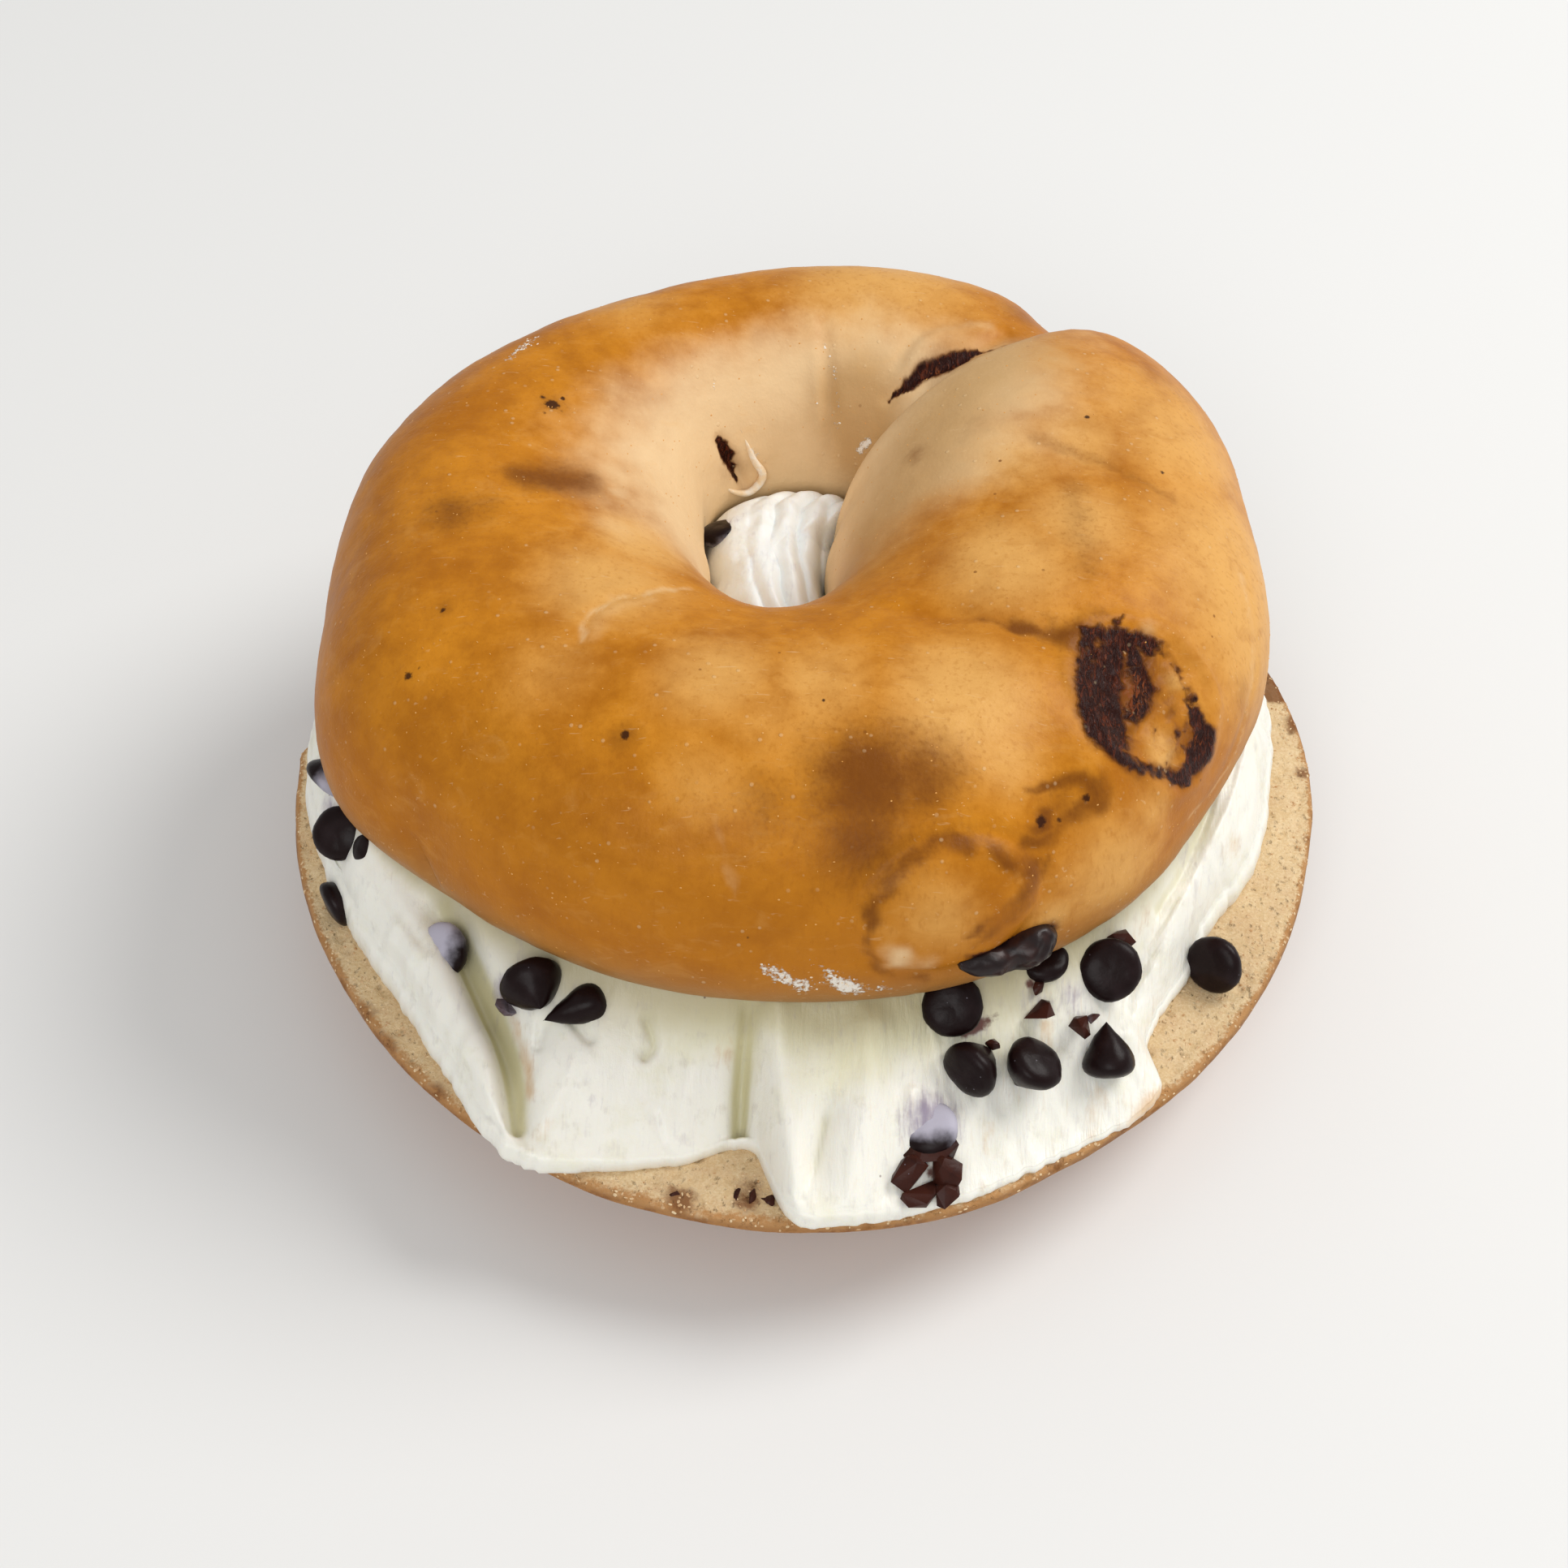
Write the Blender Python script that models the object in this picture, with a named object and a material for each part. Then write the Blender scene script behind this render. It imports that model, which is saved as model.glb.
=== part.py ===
"""A chocolate chip bagel, cut in half and put together again round a thick layer of cream cheese.

The bottom half lies cut face up, the cream cheese is spread over it and rises in the hole, and the
top half rests on the cream, a little behind the bottom half's middle. Chocolate chips sit in the cream
and on the crumb. Metres, +Z up, origin under the middle of the footprint, the front towards -Y.
"""
import math

import bmesh
import bpy
import numpy as np
from mathutils import Matrix, Vector

GAP = 0.0003                       # left between pieces that touch
CREASE_ANGLE = math.radians(50)    # edges sharper than this stay sharp

# Bottom half: a ring with a flat foot and a flat cut face, its crust sloping in under the rim.
BOTTOM_RADIUS = 0.0558
BOTTOM_HEIGHT = 0.0135
BOTTOM_RIM_HEIGHT = 0.0125         # where the crust is widest
BOTTOM_BULGE = 0.0003              # how far it stands out there
BOTTOM_FOOT_RADIUS = 0.0380
BOTTOM_FULLNESS = 1.2              # exponent of the crust's curve, 1 is a cone
BOTTOM_HOLE_CENTRE = (-0.0035, 0.0090)
BOTTOM_HOLE_RADIUS = 0.0080
# The hole's wall from the cut face down: how much wider than the hole, and height as a share.
BOTTOM_HOLE_WALL = ((0.0005, 1.0), (0.0, 0.6), (0.0010, 0.15), (0.0040, 0.0))
BOTTOM_EDGE = ((-165, -0.0006), (-128, 0.0002), (-90, 0.0011), (-62, -0.0005), (-32, -0.0013),
               (0, -0.0001), (20, 0.0005), (60, 0.0004), (90, 0.0010), (130, -0.0004), (155, -0.0016),
               (180, -0.0003))

# Top half: a fat ring, cut flat below, with an off-centre hole. Knots are (degrees, value).
CUT_HEIGHT = 0.0260                # of the top half's cut face
TOP_CENTRE = (-0.0005, 0.0082)
TOP_RADIUS = 0.0498
TOP_EDGE = ((-170, 0.0011), (-150, 0.0046), (-130, 0.0021), (-110, 0.0012), (-90, 0.0001),
            (-50, -0.0005), (-30, -0.0019), (-10, -0.0009), (10, -0.0010), (28, 0.0018), (44, 0.0022),
            (50, -0.0017), (62, 0.0008), (80, 0.0000), (100, -0.0025), (120, -0.0038),
            (140, -0.0024), (165, 0.0002))
HOLE_CENTRE = (-0.0048, 0.0140)
HOLE_EDGE = ((-160, 0.0068), (-120, 0.0102), (-90, 0.0135), (-60, 0.0112), (-30, 0.0072),
             (0, 0.0060), (30, 0.0082), (43, 0.0100), (50, 0.0165), (70, 0.0165), (90, 0.0150),
             (120, 0.0125), (150, 0.0085), (180, 0.0068))
CROWN_HEIGHT = ((-150, 0.0235), (-90, 0.0250), (-50, 0.0252), (-10, 0.0250), (25, 0.0245),
                (43, 0.0225), (49, 0.0195), (70, 0.0200), (100, 0.0205), (140, 0.0215), (180, 0.0225))
CROWN_PLACE = ((-150, 0.56), (-90, 0.55), (-45, 0.52), (0, 0.48), (30, 0.46), (60, 0.50),
               (100, 0.50), (140, 0.56), (180, 0.60))
EQUATOR_HEIGHT = 0.0045            # of the widest point above the cut face
EQUATOR_SHARE = 0.12               # of the section's length that lies below it, at each side
TUCK = 0.0016                      # how far the crust turns in below it
OUTER_FULLNESS = 2.25              # exponent of the crust's outer curve, 2 is an ellipse
INNER_FULLNESS = 2.05
# Bumps and hollows of the crust: centre, half-width, height.
CRUST_RELIEF = (
    ((0.0315, -0.0170, 0.0465), 0.0070, -0.0014),       # hollow over a melted chip
    ((0.0265, -0.0245, 0.0460), 0.0035, 0.0006),        # its raised lower lip
    ((0.0138, -0.0372, 0.0385), 0.0075, 0.0011),        # blister low on the front
    ((0.0236, -0.0295, 0.0446), 0.0040, -0.0006),       # dent beside it
    ((0.0120, -0.0110, 0.0508), 0.0050, -0.0009),       # fold across the front right
    ((0.0210, -0.0136, 0.0508), 0.0040, -0.0007),
    ((-0.0365, -0.0270, 0.0340), 0.0050, -0.0010),      # waist low on the left
    ((0.0280, 0.0120, 0.0508), 0.0060, -0.0006),        # crease over the right arm
    ((-0.0265, 0.0095, 0.0475), 0.0050, -0.0006),       # dimple on the left arm
)

# Cream cheese: spread from the bottom half's rim up to the top half.
CREAM_EDGE = ((-180, 0.0524), (-170, 0.0529), (-160, 0.0523), (-148, 0.0517), (-138, 0.0519),
              (-128, 0.0540), (-117, 0.0576), (-110, 0.0549), (-102, 0.0517), (-94.5, 0.0488),
              (-90, 0.0560), (-84, 0.0567), (-74, 0.0558), (-60, 0.0545), (-48, 0.0540),
              (-44.5, 0.0490), (-34, 0.0472), (-24, 0.0466), (-14, 0.0486), (-2, 0.0496),
              (10, 0.0510), (35, 0.0504), (52, 0.0525), (70, 0.0520), (90, 0.0535), (112, 0.0520),
              (135, 0.0495), (152, 0.0505), (166, 0.0508))
CREAM_EDGE_THICKNESS = ((-170, 0.0070), (-140, 0.0045), (-115, 0.0026), (-100, 0.0014), (-88, 0.0022),
                        (-66, 0.0009), (-49, 0.0010), (-25, 0.0030), (0, 0.0055), (60, 0.0080),
                        (180, 0.0080))
CREAM_SLOPE = ((-170, 0.7), (-130, 1.1), (-105, 1.3), (-85, 1.1), (-55, 1.3), (-20, 0.9), (60, 0.6))
CREAM_TUCKED = 0.0010              # how far the slope begins inside the top half's cut edge
CREAM_LEAST_SPREAD = 0.0015        # between that line and the cream's own edge, at least
CREAM_SWELL = 0.12                 # how far the edge bulges, as a share of its thickness
CREAM_SWELL_HEIGHT = 0.55          # where it bulges most, as a share of its thickness
CREAM_MOUND_HEIGHT = 0.0085        # above the top half's cut face
CREAM_WALL_CLEARANCE = 0.0006      # between the mound and the hole's wall
# Ridges and furrows that the knife left: plan points, half-width, height.
CREAM_STROKES = (
    (((-0.0450, -0.0226), (-0.0430, -0.0263), (-0.0388, -0.0315), (-0.0344, -0.0376),
      (-0.0306, -0.0435), (-0.0277, -0.0498)), 0.0028, 0.0020),                    # rolled lip, left
    (((-0.0354, -0.0289), (-0.0324, -0.0344), (-0.0290, -0.0398), (-0.0269, -0.0445),
      (-0.0259, -0.0505)), 0.0015, -0.0024),                                       # furrow beside it
    (((-0.0046, -0.0390), (-0.0050, -0.0440), (-0.0052, -0.0480)), 0.0011, -0.0024),
    (((-0.0022, -0.0390), (-0.0023, -0.0455), (-0.0012, -0.0505), (0.0008, -0.0560)), 0.0017, 0.0018),
    (((0.0030, -0.0485), (0.0022, -0.0532), (0.0014, -0.0570)), 0.0011, -0.0013),  # middle tongue
    (((0.0073, -0.0415), (0.0067, -0.0503), (0.0056, -0.0566)), 0.0019, 0.0013),
    (((0.0481, -0.0010), (0.0459, -0.0096), (0.0420, -0.0174), (0.0376, -0.0260),
      (0.0345, -0.0335)), 0.0020, 0.0019),                                         # band on the right
    (((0.0415, -0.0110), (0.0390, -0.0180), (0.0356, -0.0245), (0.0320, -0.0345)), 0.0013, -0.0015),
    (((-0.0180, -0.0385), (-0.0120, -0.0420), (-0.0080, -0.0430)), 0.0040, -0.0010),
)
MOUND_FOLD_WIDTH = 0.0027          # of the folds down the right of the cream in the hole
MOUND_FOLD_HEIGHT = 0.0010
MOUND_SMOOTH_FROM = -0.0040        # left of this, measured from the hole's middle, there are none
MOUND_FOLDED_FROM = 0.0015         # right of this they are at their full height

# Chocolate chips: a round base running up to a tip.
CHIP_RADIUS = 0.0032
CHIP_HEIGHT = 0.0048
CHIP_WIDEST = 0.77                 # largest value of sin(t) * sin(t / 2)
CHIP_WIDEST_ANGLE = math.radians(109.5)
CHIP_TAPER = 1.3                   # exponent that draws the tip out
CHIP_AROUND = 10
CHIP_ALONG = 5
# Name: place of the widest part, direction of the tip, and width and length as shares of the usual ones.
CHIPS = {
    "chip_front_a": ((0.0305, -0.0323, 0.0230), (0.0, 0.66, -0.75), (0.98, 1.0)),
    "chip_front_b": ((0.0148, -0.0387, 0.0246), (0.0, 0.60, -0.80), (0.94, 1.0)),
    "chip_front_c": ((0.0166, -0.0440, 0.0216), (0.61, 0.79, -0.11), (0.90, 1.0)),
    "chip_front_d": ((0.0230, -0.0427, 0.0214), (-0.45, -0.10, -0.89), (0.90, 1.0)),
    "chip_front_e": ((0.0306, -0.0402, 0.0182), (-0.10, 0.75, 0.66), (0.80, 1.15)),
    "chip_front_g": ((0.0238, -0.0324, 0.0245), (0.0, 0.1, -1.0), (0.80, 0.76)),
    "chip_rim_f": ((0.0424, -0.0260, 0.0163), (0.55, 0.70, -0.35), (0.95, 0.95)),
    "chip_drowned_h": ((0.0130, -0.0488, 0.0186), (0.2, 0.3, -0.9), (0.84, 0.84)),
    "chip_side_j": ((-0.0474, -0.0187, 0.0226), (0.15, 0.60, -0.75), (0.90, 1.0)),
    "chip_side_k": ((-0.0494, -0.0122, 0.0233), (0.6, 0.5, 0.6), (0.86, 0.86)),
    "chip_side_m": ((-0.0445, -0.0219, 0.0242), (0.7, 0.4, -0.6), (0.45, 0.45)),
    "chip_side_n": ((-0.0480, -0.0229, 0.0162), (0.8, 0.5, 0.2), (0.80, 0.80)),
    "chip_left_p": ((-0.0352, -0.0326, 0.0220), (0.5, 0.6, -0.6), (0.88, 0.88)),
    "chip_left_q": ((-0.0259, -0.0374, 0.0238), (0.35, -0.93, 0.05), (0.98, 0.98)),
    "chip_left_r": ((-0.0201, -0.0389, 0.0229), (-0.90, -0.42, -0.10), (0.60, 1.35)),
    "chip_mound": ((-0.0106, 0.0194, 0.0314), (0.3, -0.3, -0.9), (0.70, 0.70)),
    "chip_back_a": ((0.0446, 0.0262, 0.0190), (0.9, 0.3, 0.3), (1.00, 1.0)),
    "chip_back_b": ((0.0325, 0.0405, 0.0210), (-0.5, -0.8, 0.1), (1.05, 1.0)),
    "chip_back_c": ((0.0095, 0.0520, 0.0185), (0.2, 0.9, -0.4), (0.98, 1.0)),
    "chip_back_d": ((0.0035, 0.0530, 0.0222), (-0.7, -0.6, 0.3), (1.02, 1.0)),
    "chip_back_e": ((-0.0222, 0.0462, 0.0192), (-0.3, 0.7, 0.6), (1.05, 1.0)),
    "chip_back_f": ((-0.0425, 0.0278, 0.0215), (0.6, -0.7, -0.2), (1.00, 1.0)),
}
# A lump of broken chocolate in the cream and one baked into the crust: place, half-sizes, turn.
CHUNKS = {
    "chunk_front": ((0.0126, -0.0533, 0.0166), (0.0036, 0.0021, 0.0021), 12),
    "chunk_crust": ((0.0194, -0.0366, 0.0322), (0.0052, 0.0026, 0.0024), 26),
}
CHUNK_ROUGHNESS = 0.16             # unevenness of its sides, as a share of its half-size
CHUNK_AROUND = 9
CHUNK_ALONG = 4
CHUNK_END = 0.95                   # its flattened ends, as a share of its half-height

# How finely each carrier is divided.
TOP_AROUND = 84
TOP_ACROSS = 23
BOTTOM_AROUND = 60
BOTTOM_CLIMB = (0.0, 0.06, 0.2, 0.4, 0.6, 0.8, 0.94, 1.0)
CREAM_AROUND = 84
MOUND_SHARES = (0.2, 0.4, 0.6, 0.8, 0.92, 1.0)
SLOPE_RINGS = 8
REACH_ROUNDS = 12
NORMAL_STEP = 0.002                # in section and in radians, for slopes of the crust
TINY = 1e-12                       # keeps a length of nothing from dividing

# Plain looks: colour and roughness.
CRUST = ((0.62, 0.36, 0.13), 0.45)
CRUMB = ((0.66, 0.45, 0.23), 0.60)
CREAM = ((0.86, 0.84, 0.72), 0.35)
CHOCOLATE = ((0.035, 0.015, 0.012), 0.30)


def around(knots, azimuth):
    """Values on a smooth closed curve through (degrees, value) knots, at azimuths in radians."""
    angles = np.array([knot[0] for knot in knots], float)
    values = np.array([knot[1] for knot in knots], float)
    count = len(knots)
    wrapped = (np.degrees(azimuth) - angles[0]) % 360.0 + angles[0]
    at = np.searchsorted(angles, wrapped, side="right") - 1
    before, after, later = (at - 1) % count, (at + 1) % count, (at + 2) % count

    def span(low, high):
        return (angles[high] - angles[low]) % 360.0

    width = span(at, after)
    slope_here = (values[after] - values[before]) / (span(before, at) + width)
    slope_next = (values[later] - values[at]) / (width + span(after, later))
    step = (wrapped - angles[at]) / width
    return (values[at] * (1 + 2 * step) * (1 - step) ** 2 + values[after] * step ** 2 * (3 - 2 * step)
            + width * (slope_here * step * (1 - step) ** 2 - slope_next * step ** 2 * (1 - step)))


def top_rim(azimuth):
    """Radius of the top half's widest line about its centre."""
    return TOP_RADIUS + around(TOP_EDGE, azimuth)


def top_plan(azimuth, across):
    """Plan position on the top half: across is 0 at the hole's wall and 1 at the outer edge."""
    inner, outer = around(HOLE_EDGE, azimuth), top_rim(azimuth)
    cosine, sine = np.cos(azimuth), np.sin(azimuth)
    return ((HOLE_CENTRE[0] + inner * cosine) * (1 - across) + (TOP_CENTRE[0] + outer * cosine) * across,
            (HOLE_CENTRE[1] + inner * sine) * (1 - across) + (TOP_CENTRE[1] + outer * sine) * across)


def top_surface(azimuth, section):
    """A point of the crust: section runs from 0 at the hole's cut edge to 1 at the outer cut edge."""
    crown = around(CROWN_PLACE, azimuth)
    rise = around(CROWN_HEIGHT, azimuth) - EQUATOR_HEIGHT
    turn = (section - EQUATOR_SHARE) / (1 - 2 * EQUATOR_SHARE) * math.pi
    outer_side = turn > math.pi / 2
    turn = np.clip(turn, 0.0, math.pi)
    fullness = np.where(outer_side, OUTER_FULLNESS, INNER_FULLNESS)
    sideways = np.abs(np.cos(turn)) ** (2 / fullness)
    upward = np.sin(turn) ** (2 / fullness)
    below = np.clip((np.abs(section - 0.5) - 0.5 + EQUATOR_SHARE) / EQUATOR_SHARE, 0.0, 1.0)
    across = np.where(outer_side, crown + (1 - crown) * sideways, crown * (1 - sideways))
    tucked = np.where(outer_side, -TUCK, TUCK) * below ** 2
    x, y = top_plan(azimuth, across)
    x, y = x + tucked * np.cos(azimuth), y + tucked * np.sin(azimuth)
    return x, y, CUT_HEIGHT + EQUATOR_HEIGHT * (1 - below) + rise * upward


def crust_point(azimuth, section):
    """A point of the crust with its bumps and hollows, moved along the surface's normal."""
    here = ring(*top_surface(azimuth, section))
    along = ring(*top_surface(azimuth, section + NORMAL_STEP)) - here
    sideways = ring(*top_surface(azimuth + NORMAL_STEP, section)) - here
    inward = np.cross(sideways, along)
    inward /= np.linalg.norm(inward, axis=-1, keepdims=True) + TINY
    relief = np.zeros(here.shape[:-1])
    for centre, width, height in CRUST_RELIEF:
        distance = np.linalg.norm(here - np.array(centre), axis=-1)
        relief += height * np.exp(-(distance / width) ** 2)
    return here - inward * relief[..., None]


def crust_reach(azimuth):
    """Distance from the origin to the top half's outer cut edge, found in a few rounds."""
    cosine, sine = np.cos(azimuth), np.sin(azimuth)
    reach = np.full_like(azimuth, TOP_RADIUS)
    for _ in range(REACH_ROUNDS):
        x, y = reach * cosine - TOP_CENTRE[0], reach * sine - TOP_CENTRE[1]
        reach = reach + top_rim(np.arctan2(y, x)) - TUCK - np.hypot(x, y)
    return reach


def stroke_relief(x, y):
    """Height that the knife's strokes add at a plan position."""
    relief = np.zeros_like(x)
    for points, width, height in CREAM_STROKES:
        nearest = np.full_like(x, np.inf)
        for (start_x, start_y), (end_x, end_y) in zip(points, points[1:]):
            run_x, run_y = end_x - start_x, end_y - start_y
            off_x, off_y = x - start_x, y - start_y
            along = np.clip((off_x * run_x + off_y * run_y) / (run_x ** 2 + run_y ** 2), 0.0, 1.0)
            nearest = np.minimum(nearest, np.hypot(off_x - along * run_x, off_y - along * run_y))
        relief += height * np.exp(-(nearest / width) ** 2)
    return relief


def cream_slope(azimuth, share):
    """The cream's open surface, from the top half's cut edge (share 0) to its own edge (share 1)."""
    inner, outer = crust_reach(azimuth), around(CREAM_EDGE, azimuth)
    inner = np.minimum(inner, outer - CREAM_LEAST_SPREAD) - CREAM_TUCKED
    reach = inner + (outer - inner) * share
    x, y = reach * np.cos(azimuth), reach * np.sin(azimuth)
    low = BOTTOM_HEIGHT + GAP + around(CREAM_EDGE_THICKNESS, azimuth)
    high = CUT_HEIGHT - GAP
    fall = (1 - share) ** around(CREAM_SLOPE, azimuth)
    blend = np.sin(np.clip(share, 0, 1) * math.pi) ** 0.5
    return x, y, low + (high - low) * fall + stroke_relief(x, y) * blend


def smooth(low, high, value):
    """0 below low, 1 above high, and a soft step between."""
    step = np.clip((value - low) / (high - low), 0.0, 1.0)
    return step * step * (3 - 2 * step)


def mound(azimuth, share):
    """The cream that rises in the hole, from its peak (share 0) to the hole's wall (share 1).

    Curved folds run down its right. Its left is smooth.
    """
    reach = (around(HOLE_EDGE, azimuth) - CREAM_WALL_CLEARANCE) * share
    off_x, off_y = reach * np.cos(azimuth), reach * np.sin(azimuth)
    dome = math.sqrt(1 - share ** 2)
    bend = off_y / 0.010
    across = off_x - 0.0026 * bend ** 2 + 0.0016 * bend
    fold = np.abs(np.sin(math.pi * across / MOUND_FOLD_WIDTH)) - 0.5
    folded = fold * smooth(MOUND_SMOOTH_FROM, MOUND_FOLDED_FROM, off_x) * dome
    level = CUT_HEIGHT - GAP + CREAM_MOUND_HEIGHT * dome + MOUND_FOLD_HEIGHT * folded
    return HOLE_CENTRE[0] + off_x, HOLE_CENTRE[1] + off_y, level


def build(name, points, faces, look):
    """A smooth-shaded object from points and faces, its faces turned out."""
    color, roughness = look
    mesh = bpy.data.meshes.new(name)
    mesh.from_pydata([tuple(point) for point in points], [], faces)
    shell = bmesh.new()
    shell.from_mesh(mesh)
    bmesh.ops.triangulate(shell, faces=shell.faces[:])
    bmesh.ops.recalc_face_normals(shell, faces=shell.faces[:])
    if shell.calc_volume(signed=True) < 0:
        bmesh.ops.reverse_faces(shell, faces=shell.faces[:])
    shell.to_mesh(mesh)
    shell.free()
    mesh.shade_smooth()
    mesh.set_sharp_from_angle(angle=CREASE_ANGLE)
    material = bpy.data.materials.new(name)
    material.use_nodes = True
    shader = material.node_tree.nodes["Principled BSDF"]
    shader.inputs["Base Color"].default_value = (*color, 1.0)
    shader.inputs["Roughness"].default_value = roughness
    mesh.materials.append(material)
    piece = bpy.data.objects.new(name, mesh)
    bpy.context.scene.collection.objects.link(piece)
    return piece


def lattice(rings, closed):
    """Points and faces of rings of points: closed joins the last ring to the first, else both are capped."""
    grid = np.stack(rings)
    count, around_count = grid.shape[:2]
    faces = []
    for row in range(count if closed else count - 1):
        for step in range(around_count):
            low, high = row * around_count, (row + 1) % count * around_count
            following = (step + 1) % around_count
            faces.append((low + step, low + following, high + following, high + step))
    points = grid.reshape(-1, 3)
    if not closed:
        middles = np.stack([grid[0].mean(0), grid[-1].mean(0)])
        for step in range(around_count):
            following = (step + 1) % around_count
            faces.append((len(points), following, step))
            faces.append((len(points) + 1, (count - 1) * around_count + step,
                          (count - 1) * around_count + following))
        points = np.concatenate([points, middles])
    return points, faces


def ring(x, y, z):
    """One array of points from three of coordinates, any of which may be a single number."""
    return np.stack(np.broadcast_arrays(x, y, z), -1)


def steps(count):
    """Even azimuths in radians, once round."""
    return np.linspace(-math.pi, math.pi, count, endpoint=False)


def bagel_top():
    """The upper half of the bread."""
    azimuth = steps(TOP_AROUND)
    rings = [crust_point(azimuth, section) for section in np.linspace(0.0, 1.0, TOP_ACROSS)]
    points, faces = lattice(rings, closed=True)
    return build("bagel_top", points, faces, CRUST)


def bottom_surface(azimuth, climb):
    """The lower crust: climb runs from 0 at the flat foot to 1 at the widest line."""
    rim = BOTTOM_RADIUS + BOTTOM_BULGE + around(BOTTOM_EDGE, azimuth)
    out = (1 - (1 - climb) ** BOTTOM_FULLNESS) ** (1 / BOTTOM_FULLNESS)
    reach = BOTTOM_FOOT_RADIUS + (rim - BOTTOM_FOOT_RADIUS) * out
    return reach * np.cos(azimuth), reach * np.sin(azimuth), BOTTOM_RIM_HEIGHT * climb


def bagel_bottom():
    """The lower half of the bread, its hole a little behind the middle."""
    azimuth = steps(BOTTOM_AROUND)
    rings = [ring(*bottom_surface(azimuth, climb)) for climb in BOTTOM_CLIMB]
    rim = BOTTOM_RADIUS + around(BOTTOM_EDGE, azimuth)
    rings.append(ring(rim * np.cos(azimuth), rim * np.sin(azimuth), BOTTOM_HEIGHT))
    for widen, height in BOTTOM_HOLE_WALL:
        wall = BOTTOM_HOLE_RADIUS + widen
        rings.append(ring(BOTTOM_HOLE_CENTRE[0] + wall * np.cos(azimuth),
                          BOTTOM_HOLE_CENTRE[1] + wall * np.sin(azimuth), BOTTOM_HEIGHT * height))
    points, faces = lattice(rings, closed=True)
    return build("bagel_bottom", points, faces, CRUMB)


def cream_cheese():
    """The filling: the mound in the hole, the layer under the top half, the open slope and its edge."""
    azimuth = steps(CREAM_AROUND)
    rings = [ring(*mound(azimuth, share)) for share in MOUND_SHARES]
    slope = [ring(*cream_slope(azimuth, share)) for share in np.linspace(0.0, 1.0, SLOPE_RINGS)]
    midway = (rings[-1] + slope[0]) / 2
    edge = slope[-1]
    thickness = edge[:, 2] - BOTTOM_HEIGHT - GAP
    swell = CREAM_SWELL * thickness
    outward = ring(np.cos(azimuth), np.sin(azimuth), 0.0)
    foot = ring(edge[:, 0], edge[:, 1], edge[:, 2] - thickness)
    bulge = foot + outward * swell[:, None]
    bulge[:, 2] += CREAM_SWELL_HEIGHT * thickness
    points, faces = lattice([*rings, midway, *slope, bulge, foot], closed=False)
    return build("cream_cheese", points, faces, CREAM)


def chip_shape(tip, size, grow=0.0):
    """Points and faces of a chip about its widest part, its tip pointing along a direction."""
    radius, length = CHIP_RADIUS * size[0], CHIP_HEIGHT * size[1]
    foot = ((1 + math.cos(CHIP_WIDEST_ANGLE)) / 2) ** CHIP_TAPER
    turns = steps(CHIP_AROUND)
    rings = []
    for step in range(1, CHIP_ALONG + 1):
        bend = math.pi * step / (CHIP_ALONG + 1)
        reach = radius * math.sin(bend) * math.sin(bend / 2) / CHIP_WIDEST + grow
        height = length * (((1 + math.cos(bend)) / 2) ** CHIP_TAPER - foot) + grow * math.cos(bend)
        rings.append(ring(reach * np.cos(turns), reach * np.sin(turns), height))
    points, faces = lattice(rings, closed=False)
    points[-2] = (0.0, 0.0, length * (1 - foot) + grow)
    points[-1] = (0.0, 0.0, -length * foot - grow)
    aim = np.array(Vector(tip).to_track_quat("Z", "Y").to_matrix())
    return points @ aim.T, faces


def chunk_shape(half_sizes, turn, grow=0.0):
    """Points and faces of a broken lump: a ball with flats and corners, its sides uneven."""
    turns = steps(CHUNK_AROUND)
    rings = []
    for step in range(1, CHUNK_ALONG + 1):
        bend = math.pi * step / (CHUNK_ALONG + 1)
        uneven = 1 + CHUNK_ROUGHNESS * np.cos(3 * turns + 1.7 * step) * np.sin(2 * turns + step)
        reach = math.sin(bend) * uneven
        rings.append(ring(reach * np.cos(turns), reach * np.sin(turns), -math.cos(bend)))
    points, faces = lattice(rings, closed=False)
    points[-2:] = ((0.0, 0.0, -CHUNK_END), (0.0, 0.0, CHUNK_END))
    points = points * (np.array(half_sizes) + grow)
    aim = np.array(Matrix.Rotation(math.radians(turn), 3, "Z"))
    return points @ aim.T, faces


def toppings():
    """The chips and lumps, each with a slightly larger cutter that makes its pocket."""
    pockets = bpy.data.collections.new("pockets")
    bpy.context.scene.collection.children.link(pockets)
    shapes = [(name, place, chip_shape, (tip, size)) for name, (place, tip, size) in CHIPS.items()]
    shapes += [(name, place, chunk_shape, (half, turn)) for name, (place, half, turn) in CHUNKS.items()]
    for name, place, shape, sizes in shapes:
        build(name, *shape(*sizes), CHOCOLATE).location = place
        pocket = build(name + "_pocket", *shape(*sizes, grow=GAP), CHOCOLATE)
        pocket.location = place
        bpy.context.scene.collection.objects.unlink(pocket)
        pockets.objects.link(pocket)
        pocket.hide_render = True
        pocket.display_type = "WIRE"
    return pockets


def main():
    """Builds the pieces in an empty scene and cuts the pockets out of the bread and the cream."""
    for item in list(bpy.data.objects):
        bpy.data.objects.remove(item, do_unlink=True)
    pockets = toppings()
    for carrier in (bagel_bottom(), cream_cheese(), bagel_top()):
        cut = carrier.modifiers.new("pockets", "BOOLEAN")
        cut.operand_type = "COLLECTION"
        cut.collection = pockets
        cut.operation = "DIFFERENCE"
        cut.solver = "EXACT"


main()
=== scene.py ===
"""The looks of a chocolate chip bagel filled with cream cheese: fine shapes, finishes and a plain stage.

Lengths are in millimetres and turned to metres where a mesh is built. The origin is under the middle of
the footprint, +Z is up and the front is towards -Y. Azimuths are degrees from +X, seen from above.
"""
import math

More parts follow.
